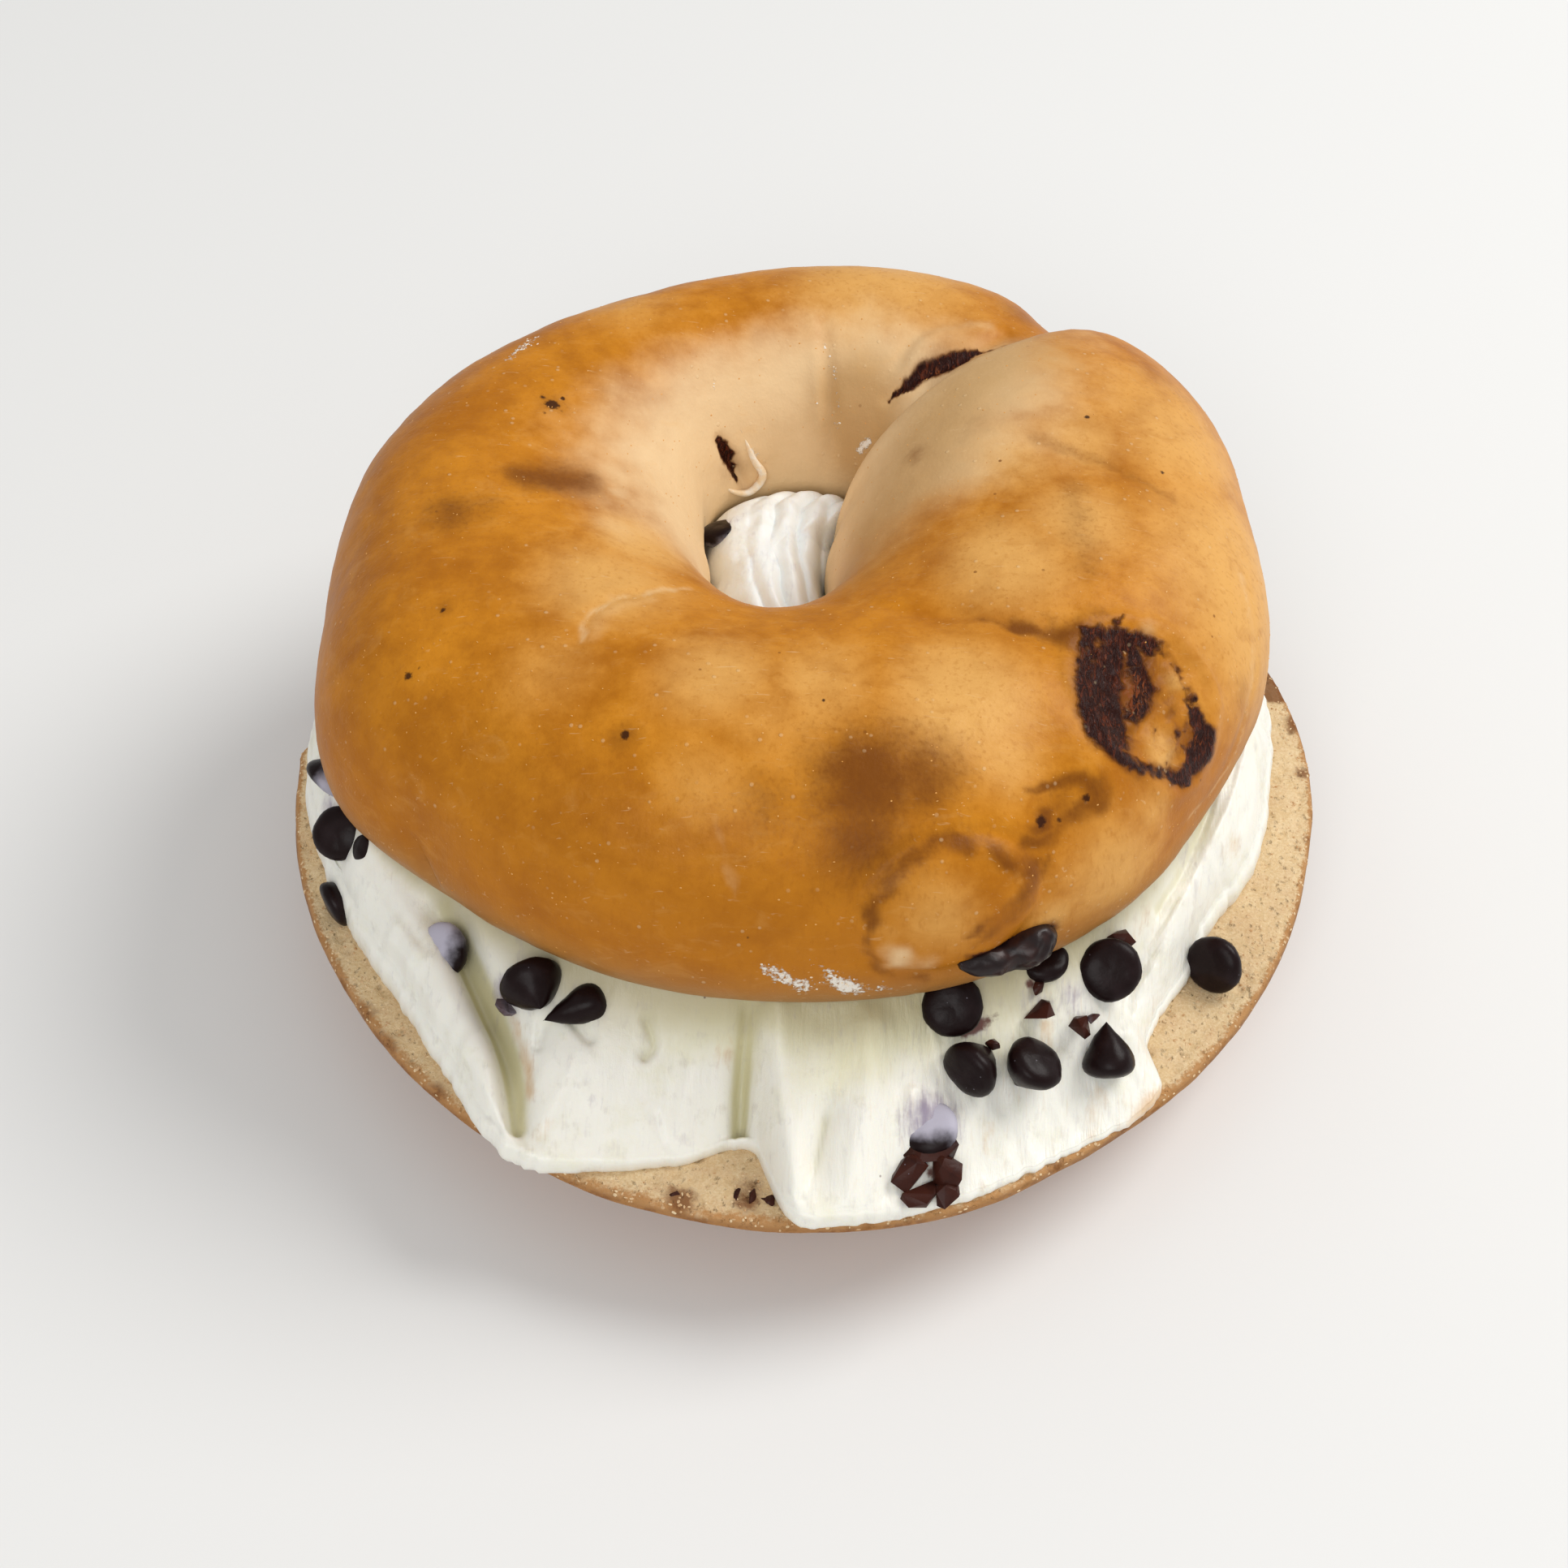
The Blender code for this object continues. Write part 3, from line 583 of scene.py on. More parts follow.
# Marks on the skin: where, half-width, strength. These are lighter, and the sides that brown less come first;
# the broad patches on top are a painted sheen.
HONEY_AND_SHEEN_MARKS = (
    ((44, 2, 42), 15, 1), ((38, 20, 47), 13, 0.75), ((22, 22, 49.5), 9, 0.55),
    ((6, 47, 44.5), 13, 0.85), ((30, -31, 36), 8, 0.70), ((-22, 40, 46), 8, 0.45),
    ((27, -20, 48), 7, 0.40), ((-3.8, -24.9, 50.8), 8, 0.45), ((-9.4, -32.1, 48.5), 6, 0.40),
    ((34, -20.6, 42), 2.8, 1), ((35.2, -13.4, 44.7), 1.5, 0.9), ((12.5, -38.8, 39.5), 5, 0.55),
    ((23.5, -35.2, 34), 3.4, 0.7), ((14, -16, 50.9), 6, 0.35), ((-26, -8, 50.5), 7, 0.30),
    # The broad light patches on top: a painted sheen
    ((14.2, -22.6, 50.7), 8, 0.95), ((18, -27.5, 48.5), 5, 0.65), ((0.6, -21.7, 51), 7, 0.60),
    ((-9.2, -20.9, 50.7), 7, 0.75), ((-20.5, -8, 49.4), 8, 0.85), ((-17.7, 1.6, 45.7), 6, 0.95),
    ((18.4, -4.5, 50.9), 8, 0.85), ((25.9, 2.3, 50.9), 7, 0.80), ((18.9, 12.1, 50.4), 8, 0.75),
    ((26.5, 15.3, 50.4), 7, 0.75), ((32.9, -25.4, 39), 5, 0.55), ((-24, -20, 49.4), 7, 0.45),
)
# Painted shade on the skin that faces into the hole, away from the main light, and on the hole's back wall.
HOLE_SHADE_MARKS = (
    (((21, 30, 46.5), (15, 22, 46.5), (10, 10, 44.5), (4, 1, 43)), 8, 1),
    (((4, 32.5, 40), (6, 29.5, 35)), 6, 1.10),
    (((-2, 34, 38), (-8, 28, 32)), 3.5, 0.40),
)
BROWN_MARKS = (
    ((5.4, -31.5, 48.8), 6.5, 1), ((9.5, -30.5, 48.9), 5.5, 0.85), ((5.4, -36, 45.4), 6, 0.80),
    ((1.5, -34.5, 47.2), 5, 0.55), ((-3.5, -34.2, 47.6), 4.5, 0.50), ((-36.7, 1.5, 48.8), 3.8, 0.70),
    ((-39.2, -1.4, 48.3), 4, 0.30), ((-33.6, 2.5, 49), 3, 0.50),
    (((-29.5, 8.5, 48.4), (-24.5, 9.8, 47.2)), 3, 0.85),
    (((14.9, -10.8, 50.3), (17.4, -12, 50.7), (20.1, -12.7, 50.4), (23.1, -13, 50.1),
      (24.9, -13.2, 49.7)), (0.8, 0.9, 1.2, 1.8, 2.6), 1.00),
    ((20, -10, 50.8), 4.5, 0.20), ((12, -4, 49.8), 4, 0.25), ((17.8, 2, 50.6), 3, 0.30),
    (((25.3, 7, 50.9), (26.3, -4.6, 50.8)), 2.4, 0.45), ((16.5, 17.5, 49.5), 3.4, 0.25),
    (((22, 14.5, 50.7), (29, 12, 50.8), (36, 8.3, 49)), 1.1, 0.45), ((10.2, 15.5, 46.6), 1.8, 0.55),
    ((22.5, 45.5, 44.5), 4, 0.55), ((-8.5, -35, 46.8), 3, 0.25), ((-17, -27.8, 49.2), 1.9, 0.55),
    ((-35.7, -12.3, 48.8), 1.5, 0.5), ((-28.4, 20.4, 47.6), 1.8, 0.55),
    # Round the melted chip
    ((28.6, -17, 47.8), 5, 0.95), ((32.5, -15, 45.8), 3, 0.80), ((37.2, -16.6, 41), 2.2, 0.75),
    (((26.6, -22.3, 47.2), (28.2, -24.2, 45.8), (30.9, -23.6, 43.3), (33.9, -22.2, 40.9),
      (36.4, -20.5, 38.7)), (1.1, 0.9, 0.8, 0.8, 1.3), 0.95),
    ((31.5, -24.5, 43), 3, 0.40), ((42.5, -9, 38.5), 2.4, 0.40), ((27.5, -10.5, 49.6), 2.4, 0.55),
    # The cloud below it
    (((20.7, -29.5, 46), (22, -28.5, 46), (24, -27.7, 45.6), (26.3, -27, 44.8),
      (27.2, -28, 43.4), (25.7, -29, 43.2)), (0.7, 0.8, 1, 1.5, 1.7, 1.3), 0.85),
    (((26.4, -28.5, 43.1), (24.5, -30.1, 42.7), (22.2, -32.3, 42.3), (20.7, -33.1, 42.8)), 1.5, 0.75),
    ((23.5, -29.9, 43.9), 3.8, 0.50), ((21.6, -31.3, 43.8), 1.6, 0.9),
    # Round the blister
    (((5.8, -40.8, 36.5), (6.3, -39.7, 40.4), (7.6, -38.2, 42.6), (9.7, -36.5, 44.5), (12.8, -35.4, 44.9),
      (16, -35, 44.1), (19.3, -34.7, 42), (21.1, -34.8, 40.3)),
     (0.7, 1, 1.2, 1.2, 1.2, 1.3, 1.3, 1), 0.85),
    (((21.1, -34.8, 40.3), (20.2, -35.9, 39), (18.3, -37.3, 38.2), (14.7, -39.4, 36.8)),
     (1.2, 1.2, 1.1, 0.4), 0.80),
    (((22.3, -33.5, 40.8), (20.4, -36, 38.3), (17, -38.5, 36.4), (14.5, -39.6, 33.9)),
     (1, 1.5, 1.1, 0.7), 0.60),
    (((5.8, -40.8, 36.5), (6.6, -41, 33.6), (8.6, -40.9, 31.9), (11.7, -40.1, 30.6)),
     (0.8, 0.6, 0.6, 0.9), 0.60),
    ((38, 30, 46), 6, 0.30), ((0, 50, 42.5), 7, 0.25), ((-32, 36, 44), 6, 0.30),
    (LOW_CREASE, 0.5, 0.85),
)
CHAR_MARKS = (
    (((-11.4, 27.2, 38.9), (-10, 27.1, 35.6), (-8.8, 27.1, 31.8)), (0.25, 0.75, 0.25), 1),   # slit
    (((7.2, 31.3, 40.6), (8.4, 32, 41.8), (10, 32.5, 42.9), (11.7, 33.4, 43.9), (13.4, 33.8, 44.6),
      (15.2, 34.7, 45.1), (16.4, 35.6, 45.2)), (0.2, 0.5, 0.9, 1.2, 1.4, 1.1, 0.4), 1),        # seam
    (((16.2, 35.5, 45.2), (18.7, 35.5, 45.8), (20.9, 36, 46), (24.2, 34.6, 48.1)),
     (0.5, 0.4, 0.3, 0.2), 0.75),
    # The melted chip: its left side, top, body and right-hand edge
    (((26.2, -12.6, 49.6), (25.8, -16, 49), (25.9, -19.6, 48.3), (26.8, -22.3, 47.1),
      (28.2, -23.4, 45.9)), (1, 1.4, 1.6, 1.9, 1.2), 1),
    (((26.9, -11.9, 49.5), (29.2, -12.2, 48.5), (31.8, -11.4, 47.6), (34.3, -11, 46.4)),
     (0.9, 1.5, 1.4, 0.7), 1),
    (((28.4, -14.2, 48.2), (27.9, -18.5, 47.3), (28.9, -21.6, 46)), (2.2, 2.7, 2.2), 1),
    (((31, -13.2, 47.2), (31.9, -16, 45.6), (30.6, -18.8, 45.4)), (1.7, 1.9, 1.7), 1),
    (((33, -12.6, 46.2), (33.6, -14.8, 44.9), (32.4, -16.9, 44.7)), (0.8, 1.1, 0.8), 0.90),
    (((34.3, -11, 46.4), (35.6, -12.4, 44.9), (36.9, -14.2, 42.6), (38, -15.8, 40.5),
      (38.7, -16.6, 39.2), (37.5, -18.6, 39), (36.5, -20.6, 38.4)), (0.45, 0.6, 0.9, 1.3, 1.8, 1.5, 0.8),
     1),
    (((33.8, -14.8, 44.8), (35.3, -17.3, 42.4), (36.7, -18.8, 40)), (0.9, 0.8, 0.6), 0.80),
    (((35.6, -14.6, 43.6), (36.6, -16.6, 41.4), (36.9, -17.6, 40.4)), (0.5, 0.8, 0.7), 0.75),
    (((32.4, -17.4, 44.2), (33.4, -19.4, 42.7), (34.4, -20.8, 41.2)), (1.1, 0.9, 0.5), 0.80),
    (((31, -19.6, 44.6), (31.8, -21.4, 43.4)), (1.1, 0.7), 0.75),
    (((28.2, -24, 45.8), (30.9, -23.6, 43.3), (33.9, -22.2, 40.9), (36.5, -20.5, 38.6)),
     (1, 0.85, 0.85, 1.1), 0.80),
    (((27.4, -11.6, 49.4), (28.9, -10.4, 49.3), (30.2, -9.3, 49)), (0.7, 0.6, 0.3), 0.62),
    (((14.9, -39.4, 33.6), (18.5, -38, 32.6), (23.2, -35.6, 32.6)), (0.5, 1.4, 1.4), 0.9),     # by the lump
)
PALE_MARKS = (
    # The first mark, by the dimple on the left arm, is a painted highlight.
    ((-20.3, 10.2, 45.5), 2.4, 0.60), ((8.8, -40.7, 34.6), 1.9, 0.75), ((11.5, -40.2, 33.8), 1.8, 0.45),
    (((8.9, 33.6, 43.3), (10.8, 36.3, 44.6), (14.5, 38.6, 45.2), (18.4, 39.8, 45.1)), 1.5, 0.40),
    ((32, -10.3, 47.9), 1.6, 0.45),
    (LIGHT_FOLD, 0.6, 0.50),
    (((-21.2, -16.4, 50.2), (-19.6, -12.6, 50), (-16, -10.2, 49.4)), 1.6, 0.30),
    (((-8.5, -35.2, 46.5), (-7.5, -37.3, 44.4), (-6.4, -39.4, 41.3)), 0.7, 0.30),
    (((43.2, 2.8, 43.9), (43.7, -3.2, 41.5), (44.5, -6.7, 37.3), (43.7, -10.1, 33.9), (41, -15.6, 32.5),
      (36, -23.1, 33.5)), 0.5, 0.45),
)
FLOUR_MARKS = (
    (((-2.8, -41.5, 33.4), (-1.4, -41.9, 32), (0.8, -41.9, 30.8)), 1.1, 0.75),
    (((2.6, -41.5, 32.2), (3.8, -41.5, 31), (5, -41.3, 30.2)), 1.3, 0.85),
    ((1.6, -41.4, 34), 1.6, 0.40), (((7, -41, 30.2), (9.4, -40.8, 30.4)), 0.8, 0.50),
    (((-34, 28, 46.8), (-31, 33, 46.4)), 0.9, 0.50),
    (((-12.2, 30.4, 43.4), (-9.3, 29.2, 39.4), (-7.4, 28.4, 34.8)), 0.40, 0.55),
    ((-11.2, 26.2, 32.4), 0.9, 1),
    (((-0.5, 37.7, 44.9), (1.3, 33.5, 41.6), (2, 30.6, 37.1)), 0.45, 0.55),
    (((5.4, 29.4, 36.6), (4.5, 29.4, 35.3)), 0.50, 1), ((-1, 33, 39.5), 0.50, 1),
)
# Small dark spots: place and radius.
DARK_SPOTS = (
    (-28.4, 20.4, 47.6, 0.75), (-29.5, 21.3, 47.4, 0.45), (-27.3, 19.6, 47.9, 0.45),
    (-28.9, 18.9, 47.9, 0.35), (-27.4, 21.6, 47.3, 0.35), (-38.4, -18.8, 46.4, 0.60),
    (-37.2, -18.2, 46.7, 0.45), (-17, -27.8, 49.2, 0.50), (-35.7, -12.3, 48.8, 0.35),
    (14.1, -10.9, 51, 0.75), (27.5, 18.6, 50.5, 0.32), (35.1, 12.1, 49.1, 0.32),
    (21.6, -31.4, 43.8, 0.70), (25.9, -28.4, 43.9, 0.45), (23.4, -30.6, 43.2, 0.35),
    (-25, -12, 50.6, 0.25), (1, -24, 50.9, 0.20), (17, 8, 49.6, 0.22),
    (19.5, -36, 42.6, 0.30), (6.4, 31, 38, 0.30), (12.6, 26.5, 46.5, 0.28),
    (-5, -41.3, 37, 0.25),
)
EMBER_MARKS = (
    ((31.2, -16.2, 46), 4.2, 1), ((33, -13.4, 45.7), 2.6, 0.95), ((30, -20, 45.4), 2.6, 0.90),
    (((34.5, -15.5, 43.6), (35.6, -18.5, 41.4)), 2, 0.90), ((37.6, -17.4, 40), 2.2, 0.90),
    ((27.4, -14.6, 48.6), 1.6, 0.80), ((12.6, 33.6, 44.3), 2.4, 0.8),
    ((-9.8, 27, 34.5), 1.6, 0.75), ((28.5, -22.5, 46), 1.6, 0.7),
)
CRATER = ((32.3, -16.6, 44.6), (6.8, 0.8, -5.9), (-1.3, -7, -1.3))      # middle, long and short half
BLISTER = ((13.3, -37.9, 38.6), (7.8, 3, 2.2), (-1.8, 1.6, 6.2))


def top_rim(azimuth):
    """Radius of the top half's widest line about its centre."""
    return TOP_RADIUS + around(TOP_EDGE, azimuth)


def top_surface(azimuth, section):
    """A point of the smooth crust: section runs from 0 at the hole's cut edge to 1 at the outer one."""
    crown = around(CROWN_PLACE, azimuth)
    rise = around(CROWN_HEIGHT, azimuth) - EQUATOR_HEIGHT
    turn = (section - EQUATOR_SHARE) / (1 - 2 * EQUATOR_SHARE) * math.pi
    outer_side = turn > math.pi / 2
    turn = np.clip(turn, 0.0, math.pi)
    fullness = np.where(outer_side, OUTER_FULLNESS, INNER_FULLNESS)
    sideways = np.abs(np.cos(turn)) ** (2 / fullness)
    upward = np.sin(turn) ** (2 / fullness)
    below = np.clip((np.abs(section - 0.5) - 0.5 + EQUATOR_SHARE) / EQUATOR_SHARE, 0.0, 1.0)
    across = np.where(outer_side, crown + (1 - crown) * sideways, crown * (1 - sideways))
    tucked = np.where(outer_side, -TUCK, TUCK) * below ** 2
    inner, outer = around(HOLE_EDGE, azimuth), top_rim(azimuth)
    cosine, sine = np.cos(azimuth), np.sin(azimuth)
    x = (HOLE_CENTRE[0] + inner * cosine) * (1 - across) + (TOP_CENTRE[0] + outer * cosine) * across
    y = (HOLE_CENTRE[1] + inner * sine) * (1 - across) + (TOP_CENTRE[1] + outer * sine) * across
    z = CUT_HEIGHT + EQUATOR_HEIGHT * (1 - below) + rise * upward
    return np.stack(np.broadcast_arrays(x + tucked * cosine, y + tucked * sine, z), -1)


def top_normal(azimuth, section, here):
    step = 0.002
    along = top_surface(azimuth, section + step) - here
    sideways = top_surface(azimuth + step, section) - here
    normal = np.cross(along, sideways)
    return normal / (np.linalg.norm(normal, axis=-1, keepdims=True) + 1e-12)


def folds(points, paths):
    """Height that folds and creases add, running out at their ends."""
    relief = np.zeros(points.shape[:-1])
    for path, width, height in paths:
        distance, share = to_path(points, curve(path))
        fade = np.sqrt(np.clip(1.2 - np.abs(2 * share - 1), 0.0, 1.0))
        relief += height * fade * np.exp(-(distance / width) ** 2)
    return relief


def bagel_top(look):
    """The upper half, with its folds, dents and the places of its colours."""
    azimuth = uneven_steps(TOP_AROUND, 0.36)[None, :]
    section = np.linspace(0.0, 1.0, TOP_ACROSS)[:, None]
    smooth_points = top_surface(azimuth, section)
    normal = top_normal(azimuth, section, smooth_points)
    skin = smooth(0.0, 0.04, section) * smooth(1.0, 0.97, section)
    relief = sum(height * np.exp(-(np.linalg.norm(smooth_points - np.array(centre), axis=-1) / width) ** 2)
                 for centre, width, height in CRUST_BUMPS)
    relief = relief + folds(smooth_points, CRUST_FOLDS)
    relief += look.unevenness * (rough(smooth_points, 9.0) + 0.35 * rough(smooth_points, 2.2, 3))
    ragged = warped(smooth_points, 0.8, 2.6)
    torn = rough(smooth_points, 1.3, 3)
    away = oval(ragged, *CRATER)
    relief += smooth(1.05, 0.75, away) * (0.45 * torn - 0.30) + 0.30 * np.exp(-((away - 1.08) / 0.10) ** 2)
    off = oval(smooth_points, *BLISTER)
    relief += 0.55 * smooth(1.10, 0.80, off) - 0.30 * np.exp(-((off - 1.10) / 0.09) ** 2)
    points = smooth_points + normal * (relief * skin)[..., None]

    reach = around(PALE_REACH, azimuth + 0 * section)
    pale = smooth(reach + 0.17, reach - 0.15, section + 0.03 * rough(smooth_points, 7.0, 3))
    values = {
        "pale": np.maximum(pale, marks(ragged, PALE_MARKS)),
        "honey": marks(smooth_points, HONEY_AND_SHEEN_MARKS),
        "tan": marks(smooth_points, HOLE_SHADE_MARKS),
        "brown": marks(ragged, BROWN_MARKS),
        "char": marks(warped(smooth_points, 0.45, 1.2), CHAR_MARKS),
        "ember": marks(ragged, EMBER_MARKS),
        "flour": marks(ragged, FLOUR_MARKS),
    }
    mesh_points, faces = lattice(points, closed=True)
    piece = make_mesh("bagel_top_crust", mesh_points, faces, values)
    dress(piece, crust_finish(look), "crust_top", "bagel_top")


def crust_finish(look):
    """Baked skin: amber glaze on gold, lighter sides, a painted sheen on top, painted shade in the hole,
    brown patches, chocolate stains and fine dots.
    """
    skin = Finish("baked_crust")
    wave = skin.noise(12.0, 4.0, 0.55, distortion=0.6)
    mottle = skin.noise(2.6, 5.0, 0.62, shift=7.0)
    grain = skin.noise(0.42, 3.0, 0.6)
    fibre = skin.noise(1.0, 3.0, 0.55, stretch=(0.5, 0.5, 2.6))
    glaze = skin.noise(3.4, 5.0, 0.62, stretch=(1.7, 1.0, 0.8), distortion=1.0, shift=21.0)
    scratch = skin.noise(0.30, 2.0, 0.5, stretch=(7.0, 1.0, 2.0), distortion=0.8, shift=33.0)
    vein = skin.noise(0.75, 3.0, 0.6, stretch=(0.6, 2.0, 2.0), distortion=1.4, shift=17.0)
    soft = skin.noise(1.5, 1.5, 0.5, distortion=0.8, shift=29.0)
    uneven = (mottle - 0.5) * 0.30
    pale = (skin.attribute("pale") + uneven).step(0.10, 0.95)
    # Painted shade on the skin inside the hole.
    tan = (skin.attribute("tan") + uneven).step(0.10, 1.00)
    # Lighter sides, and a painted sheen on the patches on top.
    honey = (skin.attribute("honey") + (wave - 0.5) * 0.5 + uneven).step(0.10, 0.95)
    brown = (skin.attribute("brown") + (mottle - 0.5) * 0.45 + (fibre - 0.5) * 0.25).step(0.10, 1.00)
    char = (skin.attribute("char") + (soft - 0.5) * 0.55 + (vein - 0.5) * 0.06).step(0.28, 0.60)
    edge = (skin.attribute("char") + (mottle - 0.5) * 0.5).step(0.10, 0.50)
    ember = skin.attribute("ember")
    streak = (vein + ember * 0.50 - 0.95).step(-0.06, 0.12)
    flour = (skin.attribute("flour") + (grain - 0.5) * 1.3 + (mottle - 0.5) * 1.0).step(0.45, 0.75)
    height = skin.height()
    low = height.step(CUT_HEIGHT + 8.0, CUT_HEIGHT + 0.5)
    dot = skin.cells(1.7).step(0.15, 0.07) * skin.noise(5.0, 2.0).step(0.42, 0.60)
    speck = skin.cells(3.7, shift=11.0).step(0.060, 0.035) * skin.noise(9.0, 2.0, shift=3.0).step(0.48, 0.62)
    spots = 0.0
    for x, y, z, radius in DARK_SPOTS:
        ragged = skin.away_from((x, y, z)) + (grain + mottle - 1.0) * radius * 1.2
        spots = ragged.step(radius * 1.15, radius * 0.55).most(spots)

    color = skin.mix((wave + (mottle - 0.5) * 0.6).step(0.20, 0.75), look.amber, look.golden)
    color = skin.coats(
        color,
        (height.step(48.0, 35.0) * (1 - honey) * 0.50, look.amber),
        (honey * 0.90, look.honey),
        (glaze.step(0.50, 0.72) * 0.26 * (1 - pale), look.amber),
        (glaze.step(0.46, 0.30) * 0.14, look.honey),
        (fibre.step(0.52, 0.72) * (1 - pale) * 0.28, look.amber),
        (low * 0.80, look.low),
        (pale * 0.92, look.pale),
        (tan * (0.30 + pale * 0.38), look.tan),
        (glaze.step(0.55, 0.75) * pale * 0.14, look.honey),
        (scratch.step(0.66, 0.78) * 0.22, look.pale),
        (brown * 0.94, look.brown),
        (edge * 0.80, look.brown),
        (ember * (vein + 0.15).least(0.75), look.brown),
        (streak * ember * 0.60, look.ember),
        (char * (1.0 - streak * 0.75), look.char),
        (char * vein.step(0.45, 0.75) * 0.45, look.ember),
        (dot * 0.28, look.pale),
        (speck * 0.75, look.brown),
        (spots * 0.90, look.char),
        (flour * 0.92, look.flour),
    )
    roughness = 0.36 + mottle * 0.12 + pale * 0.12 + flour * 0.35 - char * 0.08
    relief = mottle * 0.30 + grain * 0.20 + fibre * 0.16 + dot * 0.25 + flour * 0.5 + char * vein * 2.0
    return skin.finish(color, roughness.most(0.2), skin.bump(relief, 0.19), Specular_IOR_Level=0.12)


# ---------------------------------------------------------------- bottom half

RIM_INSET = 0.55                    # how far the rim's rounded edge reaches in


def bottom_profile():
    """The bottom half's closed section: reach and height, from the hole's foot round the rim and back."""
    climb = np.concatenate([np.linspace(0.0, 0.9, 26), np.linspace(0.92, 1.0, 7)])
    out = (1 - (1 - climb) ** BOTTOM_FULLNESS) ** (1 / BOTTOM_FULLNESS)
    rim = BOTTOM_RADIUS + BOTTOM_BULGE
    crust = np.stack([BOTTOM_FOOT_RADIUS + (rim - BOTTOM_FOOT_RADIUS) * out, BOTTOM_RIM_HEIGHT * climb], 1)
    foot = np.stack([np.linspace(BOTTOM_HOLE_RADIUS + 4.0, BOTTOM_FOOT_RADIUS - 1.0, 12), np.zeros(12)], 1)
    turn = np.linspace(0.0, math.pi / 2, 6)[1:]
    lip = BOTTOM_HEIGHT - BOTTOM_RIM_HEIGHT
    inset = RIM_INSET * (1 - np.cos(turn))
    edge = np.stack([rim - inset, BOTTOM_RIM_HEIGHT + lip * np.sin(turn)], 1)
    reach = np.concatenate([np.linspace(rim - RIM_INSET - 0.3, 42.0, 62),
                            np.linspace(41.0, BOTTOM_HOLE_RADIUS + 1, 14)])
    face = np.stack([reach, np.full(len(reach), BOTTOM_HEIGHT)], 1)
    wall = np.array([(8.2, 0.96), (8.0, 0.8), (8.0, 0.6), (8.3, 0.35), (9.0, 0.15), (10.2, 0.04)])
    wall[:, 1] *= BOTTOM_HEIGHT
    return np.concatenate([foot, crust, edge, face, wall])


def bottom_recipe(count):
    """Sweeps a section round the bottom half: its rim follows the outline and its hole is off centre."""
    recipe = Recipe("swept_bread", Section="object", Steps="int", Crumb_relief="float",
                    Crust_relief="float", Bread="material")
    add, math_of = recipe.add, recipe.math
    sheet = add("GeometryNodeMeshGrid", None, {"Size X": 1.0, "Size Y": 1.0, "Vertices Y": count + 1,
                                               "Vertices X": recipe.given("Steps") + 1})
    here = add("GeometryNodeInputPosition")
    even = recipe.part(here, 0) * (2 * math.pi)
    turn = even - math_of("SINE", even + math.pi / 2) * 0.40
    number = math_of("ROUND", (recipe.part(here, 1) + 0.5) * count) % count
    section = add("GeometryNodeObjectInfo", None, {"Object": recipe.given("Section")}, "Geometry")
    spot = add("GeometryNodeSampleIndex", {"data_type": "FLOAT_VECTOR", "domain": "POINT"},
               {"Geometry": section, "Value": here, "Index": number})
    reach, height = recipe.part(spot, 0), recipe.part(spot, 2)
    lowest = min(value for _, value in BOTTOM_EDGE)
    highest = max(value for _, value in BOTTOM_EDGE)
    knots = [((angle + 180) / 360, (value - lowest) / (highest - lowest)) for angle, value in BOTTOM_EDGE]
    knots.insert(0, (0.0, knots[-1][1]))
    outline = add("ShaderNodeFloatCurve", {"knots": knots},
                  {"Value": math_of("FRACT", turn / (2 * math.pi) + 0.5)})
    swell = (outline * (highest - lowest) + lowest) * MM
    reach = reach + swell * reach.step(BOTTOM_HOLE_RADIUS * MM, BOTTOM_FOOT_RADIUS * MM)
    aside = reach.step(32 * MM, 14 * MM)
    placed = add("ShaderNodeCombineXYZ", None, {
        "X": math_of("COSINE", turn) * reach + aside * (BOTTOM_HOLE_CENTRE[0] * MM),
        "Y": math_of("SINE", turn) * reach + aside * (BOTTOM_HOLE_CENTRE[1] * MM), "Z": height})
    rim = (BOTTOM_RADIUS * MM + swell - reach) / MM
    cut = height.step((BOTTOM_HEIGHT - 0.7) * MM, (BOTTOM_HEIGHT - 0.2) * MM)
    swept = sheet
    for label, value in (("rim", rim), ("cut", cut)):
        swept = add("GeometryNodeStoreNamedAttribute", {"data_type": "FLOAT", "domain": "POINT"},
                    {"Geometry": swept, "Name": label, "Value": value})
    swept = add("GeometryNodeSetPosition", None, {"Geometry": swept, "Position": placed})
    swept = add("GeometryNodeMergeByDistance", None, {"Geometry": swept, "Distance": 0.002 * MM})
    cut = recipe.carried("cut")
    lumps = add("ShaderNodeTexNoise", None, {"Vector": here, "Scale": 1 / (1.3 * MM), "Detail": 3.0})
    waves = add("ShaderNodeTexNoise", None, {"Vector": here, "Scale": 1 / (8 * MM), "Detail": 4.0})
    pits = add("ShaderNodeTexVoronoi", None, {"Vector": here, "Scale": 1 / (2.1 * MM)}, "Distance")
    crumb = (lumps - 0.5) * 1.2 - pits.step(0.42, 0.18) * 1.1
    relief = cut * crumb * recipe.given("Crumb_relief") + (
        (1 - cut) * (waves - 0.5) * recipe.given("Crust_relief"))
    relief = relief * recipe.part(here, 2).step(0.1 * MM, 2.0 * MM)
    swept = add("GeometryNodeSetShadeSmooth", None, {"Geometry": recipe.raised(swept, relief)})
    recipe.close(swept, recipe.given("Bread"))
    return recipe


